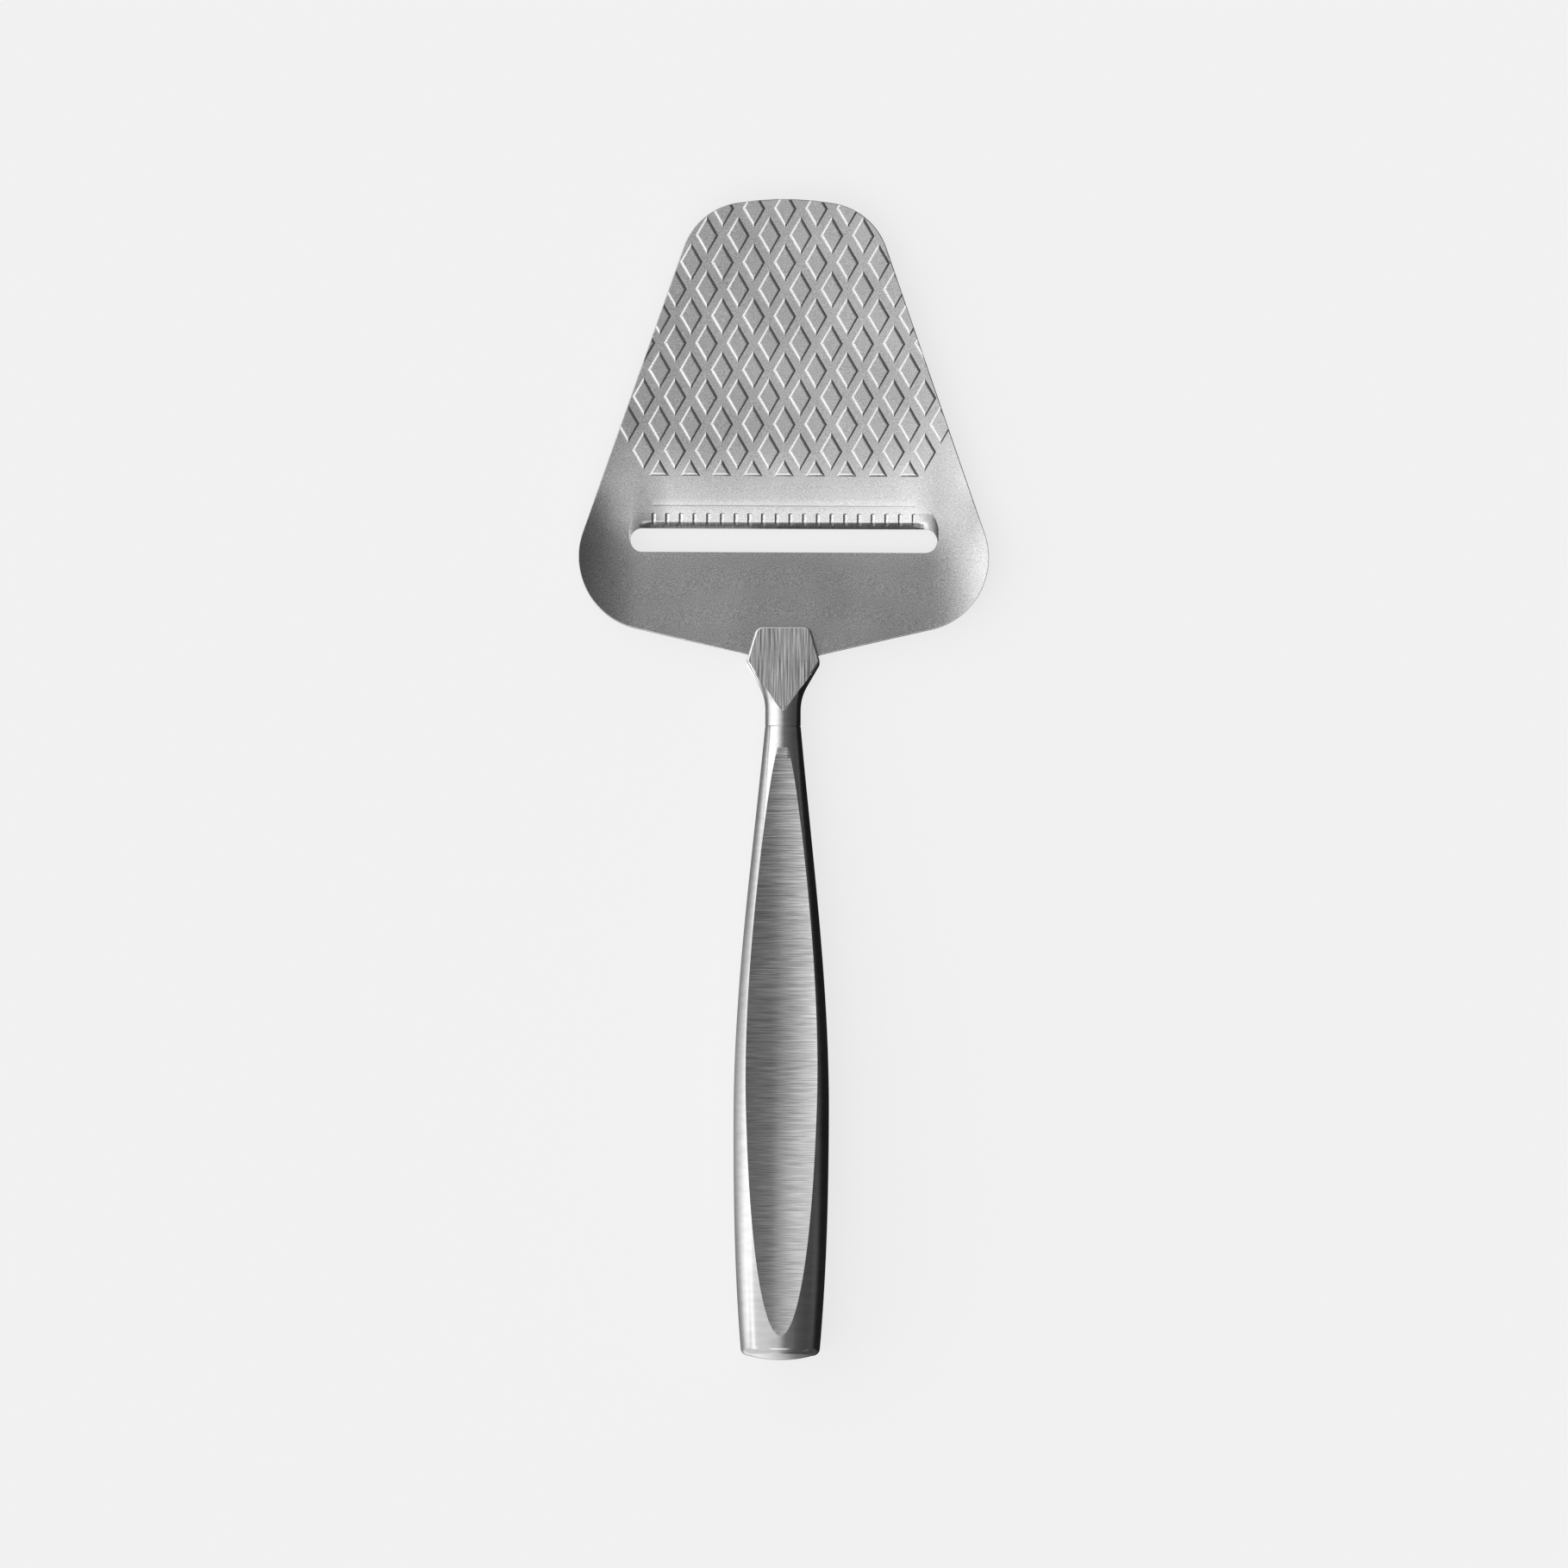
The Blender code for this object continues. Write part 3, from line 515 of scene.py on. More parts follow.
def end_ridge(x, y):
    """At each end of the lip the press left a low ridge, rounded over to a sharp foot that curves inwards."""
    along = min(max((y - RIDGE_BASE_Y) / RIDGE_LENGTH, 0.0), 1.0)
    into = RIDGE_FOOT - RIDGE_SWEEP * along ** 2 - abs(x)
    if into <= 0.0:
        return 0.0
    height = RIDGE_HEIGHT_RIGHT if x > 0.0 else RIDGE_HEIGHT_LEFT
    shoulder = math.sqrt(1.0 - max(1.0 - into / RIDGE_WIDTH, 0.0) ** 2)
    return height * (1.0 - along) * shoulder * soft_share(1.0 - (into - RIDGE_WIDTH) / RIDGE_FADE)


def sheet_height(x, y):
    """Middle of the sheet above the rear plate's plane: wings and tip plate rise, the lip is pressed down."""
    wing = WING_RISE * (max(0.0, abs(x) - WING_START) / WING_REACH) ** 3
    wing *= 1.0 - WING_FADE * soft_share((y - WING_FADE_Y) / WING_FADE_RUN)
    hollow = soft_share((y - DISH_Y) / DISH_RUN + 0.5) * (1.0 + CROWN_SHARE) - CROWN_SHARE
    dish = hollow * x ** 2 / (2 * DISH_RADIUS)
    tip_plate = bend_rise(y - SLOT_Y + BEND_RUN / 2, BEND_RUN, BEND_ANGLE)
    lip = lip_drop(x, y) - end_ridge(x, y) if y > SLOT_Y else 0.0
    return wing + dish + tip_plate - lip


def press_line(x, y):
    """A fine line that the press left along the lip's crease."""
    past = abs(y - EDGE_Y - LIP_LENGTH) / (PRESS_LINE_WIDTH / 2)
    return PRESS_LINE_DEPTH * max(1.0 - past, 0.0) * soft_share((PRESS_LINE_HALF - abs(x)) / PRESS_LINE_FADE)


def ground_off(x, y):
    """How much of the sheet's thickness the edge's bevel takes away."""
    if y < SLOT_Y:
        return 0.0
    past = min(max(EDGE_Y + EDGE_BEVEL - y, 0.0), EDGE_BEVEL)
    full = bend_rise(EDGE_BEVEL, EDGE_SOFT, SIDE_ANGLE)
    ends = soft_share((EDGE_END - abs(x)) / EDGE_END_BLEND)
    return (SHEET - EDGE_LAND) * bend_rise(past, EDGE_SOFT, SIDE_ANGLE) / full * ends


def rear_edge_y(half):
    """Where the blade's straight rear edge runs at a given half width."""
    return REAR_ROOT_Y + (half - TANG_ROOT_HALF) * math.tan(REAR_ANGLE)


def tip_vertex_y():
    """Where the two leaning tip edges would meet, just past the large arc that joins them."""
    return TIP_Y + TIP_RADIUS * (1.0 / math.cos(TIP_LEAN) - 1.0)


def tip_corner_half():
    """Half the tip's width at its corners: the tip's arc, a short straight and the corner's arc, in line."""
    corner_turn = math.pi / 2 - TIP_LEAN - SIDE_ANGLE
    arcs = TIP_RADIUS * math.tan(TIP_LEAN) + TIP_CORNER_RADIUS * math.tan(corner_turn / 2)
    return (arcs + TIP_STRAIGHT) * math.cos(TIP_LEAN)


def tip_corner_y():
    return tip_vertex_y() - tip_corner_half() * math.tan(TIP_LEAN)


def shoulder_half():
    """Half the blade's width where its straight sides would meet its rear edges."""
    side = math.tan(SIDE_ANGLE)
    reach = tip_corner_y() - rear_edge_y(0.0)
    return (tip_corner_half() + reach * side) / (1.0 + side * math.tan(REAR_ANGLE))


def steps_between(low, high, count):
    return [low + (high - low) * step / count for step in range(count + 1)]


def blade_corners():
    return mirrored([
        (0.0, tip_vertex_y(), TIP_RADIUS),
        (tip_corner_half(), tip_corner_y(), TIP_CORNER_RADIUS),
        (shoulder_half(), rear_edge_y(shoulder_half()), SHOULDER_RADIUS),
        (TANG_ROOT_HALF, rear_edge_y(TANG_ROOT_HALF), TANG_ROOT_RADIUS),
        (TANG_END_HALF, TANG_END_Y, TANG_END_RADIUS),
    ])


def pressed_sheet():
    """The outline with a rounded rim, ruled with lines where the form bends, then pressed to shape."""
    bm = bmesh.new()
    draw(bm, blade_corners())
    bmesh.ops.edgeloop_fill(bm, edges=bm.edges)
    rim = bm.verts.layers.float.new("rim")
    inner = bm.faces[:]
    reached = 0.0
    for turn in steps_between(0.0, math.pi / 2, RIM_STEPS)[1:]:
        depth = RIM_RADIUS * (1.0 - math.cos(turn))
        bmesh.ops.inset_region(
            bm, faces=inner, thickness=depth - reached, use_boundary=True, use_even_offset=True)
        for vert in inner[0].verts:
            vert[rim] = depth
        reached = depth
    bmesh.ops.inset_region(bm, faces=inner, thickness=RIM_LAND, use_boundary=True, use_even_offset=True)
    for vert in inner[0].verts:
        vert[rim] = RIM_RADIUS
    for axis, places in ((0, sheet_stations_across()), (1, sheet_stations_along())):
        line = Vector((1.0, 0.0, 0.0)) if axis == 0 else Vector((0.0, 1.0, 0.0))
        for place in places:
            bmesh.ops.bisect_plane(
                bm, geom=bm.verts[:] + bm.edges[:] + bm.faces[:], dist=WELD, plane_co=line * place,
                plane_no=line)
    top = bm.verts[:]
    under = bmesh.ops.extrude_face_region(bm, geom=bm.faces[:], use_keep_orig=True)
    under = [item for item in under["geom"] if isinstance(item, bmesh.types.BMVert)]
    for verts, side in ((top, 1.0), (under, -1.0)):
        for vert in verts:
            x, y, _ = vert.co
            short = RIM_RADIUS - vert[rim]
            drop = RIM_RADIUS - math.sqrt(max(RIM_RADIUS ** 2 - short ** 2, 0.0))
            bevel = ground_off(x, y) + press_line(x, y) if side > 0.0 else 0.0
            vert.co.z = sheet_height(x, y) + side * (SHEET / 2 - drop) - bevel
    return outward(bm)


def sheet_stations_across():
    ridge_start = RIDGE_FOOT - RIDGE_SWEEP - RIDGE_WIDTH
    right = steps_between(0.0, WING_START, PLATE_STRIPS)
    right += steps_between(WING_START, WING_START + WING_REACH, WING_STRIPS)
    right += steps_between(SLOT_LENGTH / 2 - LIP_END_BLEND, ridge_start, LIP_END_STRIPS)
    right += steps_between(ridge_start, RIDGE_FOOT, RIDGE_WIDTH_STRIPS)
    right += steps_between(EDGE_END - EDGE_END_BLEND, EDGE_END, EDGE_END_STRIPS)
    right += [PRESS_LINE_HALF - PRESS_LINE_FADE, PRESS_LINE_HALF]
    return sorted({round(side * x, 3) for x in right for side in (-1.0, 1.0)})


def sheet_stations_along():
    crease = EDGE_Y + LIP_LENGTH
    bevel_top = EDGE_Y + EDGE_BEVEL
    along = steps_between(SLOT_Y - BEND_RUN / 2, SLOT_Y + BEND_RUN / 2, BEND_STRIPS)
    along += [EDGE_Y, SLOT_Y - SLOT_WIDTH / 8, SLOT_Y + SLOT_WIDTH / 8]
    along += [crease - PRESS_LINE_WIDTH / 2, crease + PRESS_LINE_WIDTH / 2]
    along += steps_between(RIDGE_BASE_Y, RIDGE_BASE_Y + RIDGE_LENGTH, RIDGE_LENGTH_STRIPS)
    along += steps_between(crease - LIP_BEND_RUN, crease, CREASE_STRIPS)
    along += steps_between(bevel_top - EDGE_SOFT, bevel_top, EDGE_STRIPS)
    along += steps_between(DISH_Y - DISH_RUN / 2, DISH_Y + DISH_RUN / 2, DISH_STRIPS)
    along += steps_between(crease + LIP_BEND_RUN, crease + BAND_RUN, BAND_STRIPS)
    along += steps_between(crease + BAND_RUN, TIP_Y, TIP_STRIPS)
    return sorted({round(y, 3) for y in along})


def seat_on_sheet(bm, lift):
    """Moves a shape drawn on the flat up to the pressed sheet's top."""
    for vert in bm.verts:
        vert.co.z += sheet_height(vert.co.x, vert.co.y) + SHEET / 2 + lift
    return outward(bm)


def diamonds():
    """Low diamonds whose shoulders round over to a flat top; the first row is cut to half diamonds."""
    bm = bmesh.new()
    half_length = DIAMOND_LENGTH / 2
    half_width = DIAMOND_WIDTH / 2
    reach = math.ceil(PATTERN_HALF / DIAMOND_PITCH)
    for row in range(math.ceil((TIP_Y + DIAMOND_LENGTH - PATTERN_FIRST_ROW_Y) / DIAMOND_ROW_PITCH)):
        y = PATTERN_FIRST_ROW_Y + row * DIAMOND_ROW_PITCH
        for column in range(-reach, reach):
            x = (column + 0.5 * (row % 2)) * DIAMOND_PITCH
            if abs(x) > PATTERN_HALF - (DIAMOND_PITCH if row == 0 else 0.0):
                continue
            corners = [(x, y + half_length), (x - half_width, y), (x, y - half_length), (x + half_width, y)]
            if row == 0:
                base = half_width * (1.0 - (PATTERN_BASE_Y - y) / half_length)
                corners = [(x, y + half_length), (x - base, PATTERN_BASE_Y), (x + base, PATTERN_BASE_Y)]
            bm.faces.new([bm.verts.new((*corner, 0.0)) for corner in corners])
    feet = bm.verts[:]
    raised = bmesh.ops.extrude_face_region(bm, geom=bm.faces[:], use_keep_orig=True)
    tops = [item for item in raised["geom"] if isinstance(item, bmesh.types.BMFace)]
    bmesh.ops.translate(bm, verts=feet, vec=(0.0, 0.0, -DIAMOND_SINK))
    bm.normal_update()
    width = 0.0
    height = 0.0
    for next_width, next_height in DIAMOND_SHOULDER:
        bmesh.ops.inset_individual(
            bm, faces=tops, thickness=next_width - width, depth=next_height - height, use_even_offset=True)
        width = next_width
        height = next_height
    ridges = [edge for edge in bm.edges if abs(edge.verts[0].co.z - edge.verts[1].co.z) > WELD]
    bmesh.ops.bevel(
        bm, geom=ridges, offset=DIAMOND_CORNER, offset_type="OFFSET", segments=2, profile=0.5,
        affect="EDGES", material=-1)
    bm.normal_update()
    tops = [face for face in bm.faces if min(vert.co.z for vert in face.verts) > height - WELD]
    bmesh.ops.inset_individual(bm, faces=tops, thickness=DIAMOND_LAND, use_even_offset=True)
    return seat_on_sheet(bm, 0.0)


def flutes():
    """Round-bottomed cutters with rounded ends, one for each flute."""
    bm = bmesh.new()
    lie_along = Matrix.Rotation(math.pi / 2, 4, "X")
    for index in range(FLUTE_COUNT):
        x = (index - (FLUTE_COUNT - 1) / 2) * FLUTE_PITCH
        place = Matrix.Translation((x, EDGE_Y + FLUTE_SETBACK + FLUTE_LENGTH / 2, 0.0))
        bmesh.ops.create_cone(
            bm, cap_ends=True, segments=FLUTE_SIDES, radius1=FLUTE_RADIUS, radius2=FLUTE_RADIUS,
            depth=FLUTE_LENGTH, matrix=place @ lie_along)
    ends = [edge for edge in bm.edges if any(len(face.verts) > 4 for face in edge.link_faces)]
    bmesh.ops.bevel(
        bm, geom=ends, offset=FLUTE_END_RADIUS, offset_type="OFFSET", segments=1, profile=0.5,
        affect="EDGES", material=-1)
    for step in steps_between(FLUTE_SETBACK, FLUTE_SETBACK + FLUTE_LENGTH, FLUTE_RUNS)[1:-1]:
        bmesh.ops.bisect_plane(
            bm, geom=bm.verts[:] + bm.edges[:] + bm.faces[:], dist=WELD, plane_co=(0.0, EDGE_Y + step, 0.0),
            plane_no=(0.0, 1.0, 0.0))
    for vert in bm.verts:
        vert.co.z -= FLUTE_FOLLOW * ground_off(vert.co.x, vert.co.y)
    return seat_on_sheet(bm, FLUTE_RADIUS - FLUTE_DEPTH)


def make_blade():
    reach = SHEET + WING_RISE + 2 * OVERCUT
    end_radius = (SLOT_WIDTH - SLOT_END_STRAIGHT) / 2
    slot_half = [
        (SLOT_LENGTH / 2, SLOT_Y + SLOT_WIDTH / 2, end_radius),
        (SLOT_LENGTH / 2, SLOT_Y - SLOT_WIDTH / 2, end_radius),
    ]
    pattern = combine(diamonds(), "INTERSECT", plate(blade_corners(), -reach, reach, RIM_RADIUS))
    bm = combine(pressed_sheet(), "UNION", pattern)
    bm = combine(bm, "DIFFERENCE", plate(mirrored(slot_half), -reach, reach))
    bm = combine(bm, "DIFFERENCE", flutes())

    def finish_of(place, normal):
        in_bevel = 0.0 < place.y - EDGE_Y < EDGE_BEVEL and abs(place.x) < SLOT_LENGTH / 2
        return 1 if in_bevel and normal.y < -BEVEL_FACING and normal.z > BEVEL_FACING else 0

    return finished("blade_sheet", bm, "blade", [BLASTED, GROUND], finish_of, crisp=False)


# Bolster

def pad_plane(side):
    """A point and the outward direction of the flat ground on the pad's upper or lower side."""
    slope = math.atan2(NECK_RADIUS - PAD_FRONT_HEIGHT, PAD_FRONT_Y - PAD_TAIL_Y)
    out = Vector((0.0, math.sin(slope), side * math.cos(slope)))
    return Vector((0.0, PAD_TAIL_Y, side * NECK_RADIUS)), out


def round_pad_rim(bm, side):
    """Rounds a ground flat's rim with rings drawn in from its outline; towards its tail the edge stays."""
    point, out = pad_plane(side)
    bm.normal_update()
    flat = max(
        (face for face in bm.faces if lies_on(face.verts[0].co, face.normal, point, out, *ON_GROUND_PLANE)),
        key=lambda face: face.calc_area())
    lowered = bm.verts.layers.float.new("lowered")
    for vert in flat.verts:
        vert[lowered] = PAD_RIM[0][1]
    for (width, _), (next_width, drop) in zip(PAD_RIM, PAD_RIM[1:]):
        bmesh.ops.inset_region(
            bm, faces=[flat], thickness=next_width - width, use_boundary=True, use_even_offset=True)
        for vert in flat.verts:
            vert[lowered] = drop
    for vert in bm.verts:
        vert.co.z -= side * vert[lowered] * soft_share((vert.co.y - PAD_RIM_Y) / PAD_RIM_FADE)
    bm.verts.layers.float.remove(lowered)


def make_bolster():
    head = PAD_HALF + OVERCUT
    flare_y = NECK_BLEND_Y + (head - NECK_RADIUS) / math.tan(TRUMPET_ANGLE)
    rod_end = COLLAR_Y - TANG_ROD_LENGTH
    bm = bmesh.new()
    draw(bm, [
        (0.0, flare_y + OVERCUT, 0.0),
        (head, flare_y + OVERCUT, 0.0),
        (head, flare_y, 0.0),
        (NECK_RADIUS, NECK_BLEND_Y, NECK_BLEND_RADIUS),
        (NECK_RADIUS, COLLAR_Y, JOINT_EDGE),
        (TANG_ROD_RADIUS, COLLAR_Y, 0.0),
        (TANG_ROD_RADIUS, rod_end + TANG_ROD_POINT, 0.0),
        (TANG_ROD_RADIUS - TANG_ROD_POINT, rod_end, 0.0),
        (0.0, rod_end, 0.0),
    ], closed=False)
    turn_about_axis(bm)
    waist_y = NECK_BLEND_Y + (PAD_HALF - PAD_WAIST_CLEAR - NECK_RADIUS) / math.tan(TRUMPET_ANGLE)
    clear_y = waist_y - PAD_WAIST_RADIUS
    shield = mirrored([
        (PAD_FRONT_HALF, PAD_FRONT_Y, PAD_CORNER_RADIUS),
        (PAD_HALF, waist_y, PAD_WAIST_RADIUS),
        (PAD_HALF - PAD_WAIST_RADIUS * math.tan(TRUMPET_ANGLE), clear_y, 0.0),
        (PAD_HALF, clear_y, 0.0),
        (PAD_HALF, rod_end - OVERCUT, 0.0),
    ])
    bm = combine(bm, "INTERSECT", plate(shield, -2 * head, 2 * head))
    for side in (1.0, -1.0):
        slice_off(bm, *pad_plane(side))
    pocket = mirrored([
        (head, PAD_FRONT_Y + 2 * OVERCUT, 0.0),
        (head, rear_edge_y(head) - SEAM, 0.0),
        (TANG_ROOT_HALF + SEAM, rear_edge_y(TANG_ROOT_HALF) - SEAM, TANG_ROOT_RADIUS - SEAM),
        (TANG_END_HALF + SEAM, TANG_END_Y - SEAM, TANG_END_RADIUS + SEAM),
    ])
    bm = combine(bm, "DIFFERENCE", plate(pocket, -SHEET / 2 - SEAM, SHEET / 2 + SEAM))
    for side in (1.0, -1.0):
        round_pad_rim(bm, side)

    def finish_of(place, normal):
        on_pad = any(lies_on(place, normal, *pad_plane(side), *ON_PAD) for side in (1.0, -1.0))
        return 1 if on_pad else 0

    return finished("bolster_forging", bm, "bolster", [POLISHED, LINISHED], finish_of)


# Handle

def eased(start, end, slope_start, slope_end, run, share):
    """Cubic through two radii with a given slope at each end."""
    t = share
    return (
        (2 * t ** 3 - 3 * t ** 2 + 1) * start + (t ** 3 - 2 * t ** 2 + t) * slope_start * run
        + (3 * t ** 2 - 2 * t ** 3) * end + (t ** 3 - t ** 2) * slope_end * run)


def spindle_radius(y):
    """The handle's radius: it swells from the neck to the belly and narrows to the butt."""
    if y > BELLY_Y:
        run = COLLAR_Y - BELLY_Y
        return eased(NECK_RADIUS, BELLY_RADIUS, NECK_FLARE, 0.0, run, (COLLAR_Y - y) / run)
    run = BELLY_Y - BUTT_Y - BUTT_DOME - BUTT_CORNER
    return eased(BELLY_RADIUS, BUTT_RADIUS, 0.0, -BUTT_TAPER, run, (BELLY_Y - y) / run)


def thumb_flat_height(x, y):
    """Height of the hollow-ground thumb flat above the handle's axis."""
    t = (FLAT_FRONT_Y - y) / (FLAT_FRONT_Y - FLAT_REAR_Y)
    along = FLAT_FRONT_HEIGHT + (FLAT_REAR_HEIGHT - FLAT_FRONT_HEIGHT) * t
    hollow = FLAT_HOLLOW_RADIUS - math.sqrt(FLAT_HOLLOW_RADIUS ** 2 - x ** 2)
    return along - 4.0 * FLAT_DIP * t * (1.0 - t) + hollow


def rest_plane(inset):
    """A point and the outward direction of the flat that lies on the table."""
    inverse = LEAN.inverted()
    return inverse @ Vector((0.0, 0.0, inset)), inverse.to_3x3() @ Vector((0.0, 0.0, -1.0))


def ground_spindle(front_y, inset, profile_steps, turn_steps, across, along):
    """The turned handle, drawn in by a given depth, with both flats ground."""
    corner = max(BUTT_CORNER - inset, BUTT_CORNER / 4)
    corner_y = BUTT_Y + BUTT_DOME + inset + corner
    rim = spindle_radius(corner_y) - inset - corner
    points = [(0.0, front_y, 0.0)]
    for y in steps_between(front_y, corner_y, profile_steps):
        points.append((spindle_radius(y) - inset, y, 0.0))
    for turn in steps_between(0.0, math.pi / 2, BUTT_CORNER_STEPS)[1:-1]:
        points.append((rim + corner * math.cos(turn), corner_y - corner * math.sin(turn), 0.0))
    for share in steps_between(1.0, 0.0, BUTT_DOME_STEPS):
        points.append((rim * share, BUTT_Y + inset + BUTT_DOME * share ** 2, 0.0))
    bm = bmesh.new()
    draw(bm, points, closed=False)
    turn_about_axis(bm, turn_steps)
    slice_off(bm, *rest_plane(inset))
    wide = BELLY_RADIUS + OVERCUT / 3
    front = FLAT_FRONT_Y + inset
    back = BUTT_Y - OVERCUT
    grinder = bmesh.new()
    bmesh.ops.create_grid(grinder, x_segments=across, y_segments=along, size=0.5)
    ground = grinder.verts[:]
    upper = bmesh.ops.extrude_face_region(grinder, geom=grinder.faces[:], use_keep_orig=True)
    upper = [item for item in upper["geom"] if isinstance(item, bmesh.types.BMVert)]
    for verts, is_upper in ((ground, False), (upper, True)):
        for vert in verts:
            x = vert.co.x * 2 * wide
            y = (front + back) / 2 + vert.co.y * (front - back)
            vert.co = (x, y, BELLY_RADIUS + OVERCUT if is_upper else thumb_flat_height(x, y) - inset)
    return combine(bm, "DIFFERENCE", outward(grinder))


def make_handle():
    whole = ground_spindle(COLLAR_Y - JOINT, 0.0, *OUTER_STEPS)
    cavity = ground_spindle(COLLAR_Y + OVERCUT, WALL, *CAVITY_STEPS)
    whole = combine(whole, "DIFFERENCE", cavity)
    wide = BELLY_RADIUS + OVERCUT
    rest = rest_plane(0.0)
    gap, facing = ON_THUMB_FLAT

    def finish_of(place, normal):
        on_thumb_flat = normal.z > facing and abs(place.z - thumb_flat_height(place.x, place.y)) < gap
        return 1 if on_thumb_flat or lies_on(place, normal, *rest, *ON_GROUND_PLANE) else 0

    for name, node_name, side in (
            ("handle_front_half", "handle_front_shell", 1.0),
            ("handle_back_half", "handle_back_shell", -1.0)):
        inner = side * SEAM / 2
        outer = -side * 2 * wide
        low = (-wide, BUTT_Y - OVERCUT, min(inner, outer))
        high = (wide, COLLAR_Y + OVERCUT, max(inner, outer))
        half = combine(whole.copy(), "DIFFERENCE", block(low, high))
        finished(name, half, node_name, [POLISHED, BRUSHED], finish_of)
    whole.free()


BLASTED = bead_blasted_stainless()
# Ground on a stone: darker than the sheet, with faint scratches that run to the edge
GROUND = streaked_stainless(
    "edge_ground_stainless", stretch=(0.35, 6.0, 6.0), dark="#A0A0A0", light="#C6C6C6",
    rough=(0.18, 0.25), groove=0.02, anisotropy=0.4, turn=LENGTHWISE)
# Drawn over a coarse belt: scratches along the slicer, real in their pattern, with their dark and white
# streaks painted in as shade and glints
LINISHED = streaked_stainless(
    "lengthwise_linished_stainless", stretch=(0.17, 9.0, 8.0), dark="#606060", light="#FFFFFF",
    rough=(0.22, 0.34), groove=0.09, anisotropy=0.7, turn=LENGTHWISE)
# Brushed on a fine wheel: a satin sheen with thin lines across the handle
BRUSHED = streaked_stainless(
    "crosswise_brushed_stainless", stretch=(6.0, 0.14, 16.0), dark="#989898", light="#E4E4E4",
    rough=(0.15, 0.22), groove=0.03, anisotropy=0.8, turn=CROSSWISE)
# Polished on a soft mop: bright, with soft reflections and hardly a scratch
POLISHED = streaked_stainless(
    "satin_polished_stainless", stretch=(5.0, 1.2, 5.0), dark="#BCBCBC", light="#C8C8C8",
    rough=(0.17, 0.21), groove=0.002, anisotropy=0.0, turn=LENGTHWISE)

make_blade()
make_bolster()
make_handle()
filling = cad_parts["handle_filling"]
filling.data.materials.clear()
filling.data.materials.append(mineral_filled_resin())


# Stage: pale floor, studio light, cards that paint reflections of light and shade, and camera. Places are in
# metres in the frame.

PALE = "#EFEFEF"
FLOOR_TONE = "#656565"
FLOOR_LIFT = 0.88
FLOOR_REACH = 6.0
FLOOR_Z = -0.0002
CARD_STRENGTH = 1.9
CARD_REACH = 0.4
CARD_Z = 0.0001
HUNG_Z = 0.12

# Tones across the card on the floor, from the butt to the tip, as (place across the slicer, tone): painted
# reflections of light and shade, set for each part of the steel
END_TONES = (
    (-0.1, 0.6), (-0.02, 0.52), (-0.006, 0.64), (-0.003, 0.55), (0.0, 0.4), (0.004, 0.14), (0.01, 0.05),
    (0.1, 0.05))
BUTT_TONES = (
    (-0.1, 1.0), (-0.068, 1.0), (-0.033, 0.72), (-0.02, 0.29), (-0.014, 0.16), (-0.002, 0.13), (0.004, 0.01),
    (0.03, 0.01), (0.065, 0.07), (0.1, 0.07))
HANDLE_TONES = (
    (-0.1, 0.95), (-0.067, 0.87), (-0.049, 0.8), (-0.025, 0.48), (-0.018, 0.31), (-0.0143, 0.21),
    (-0.0106, 0.15), (-0.006, 0.12), (-0.002, 0.12), (0.002, 0.008), (0.03, 0.008), (0.065, 0.06),
    (0.1, 0.06))
FLARE_TONES = (
    (-0.1, 0.08), (-0.026, 0.08), (-0.018, 0.8), (-0.009, 1.0), (-0.006, 0.3), (-0.002, 0.1), (0.002, 0.012),
    (0.1, 0.012))
# Under the blade the card is kept near black, which paints shade into the steel's reflections there
REAR_TONES = ((-0.1, 0.06), (0.1, 0.06))
SIDE_TONES = ((-0.1, 0.12), (0.006, 0.12), (0.012, 0.02), (0.1, 0.02))
TIP_TONES = ((-0.1, 0.35), (0.1, 0.35))
# Each further set with the stretch along the slicer over which it comes in
CARD_TONES = (
    (BUTT_TONES, -0.128, -0.125), (HANDLE_TONES, -0.108, -0.075), (FLARE_TONES, 0.016, 0.02),
    (REAR_TONES, 0.026, 0.029), (SIDE_TONES, 0.036, 0.046), (TIP_TONES, 0.112, 0.12))
# The hollow flat's right part sees the card's light left part, and its left part the dark right part
FLAT_TONES = (
    (-0.09, 0.52), (-0.019, 0.52), (-0.0084, 0.4), (0.0, 0.3), (0.0055, 0.26), (0.0065, 0.15), (0.03, 0.11),
    (0.09, 0.1))
TOP_TONES = ((-0.09, 0.5), (-0.02, 0.46), (0.0, 0.36), (0.012, 0.22), (0.03, 0.12), (0.09, 0.1))
BESIDE_TONES = ((-0.5, 0.6), (-0.06, 0.5), (0.5, 0.5))
BEHIND_TONES = (
    (-0.1, 0.5), (-0.04, 0.55), (-0.008, 0.48), (0.002, 0.28), (0.014, 0.12), (0.03, 0.06), (0.1, 0.05))
# Cards hung round the handle, whose tones paint the handle's reflected light and shade: nearer and farther
# corner, tones, and where each starts and ends fading in
HUNG_CARDS = (
    ("over_flat", (-0.06, -0.122, HUNG_Z), (0.09, -0.03, HUNG_Z), FLAT_TONES, -0.04, -0.075),
    ("over_butt", (-0.06, -0.165, HUNG_Z), (0.09, -0.122, HUNG_Z), TOP_TONES, -0.1, -0.11),
    ("beside_butt", (-0.5, -0.2, HUNG_Z), (-0.06, -0.08, HUNG_Z), BESIDE_TONES, -0.085, -0.115),
    ("behind_butt", (-0.1, -0.23, 0.0002), (0.1, -0.145, 0.05), BEHIND_TONES, -0.1, -0.11),
)

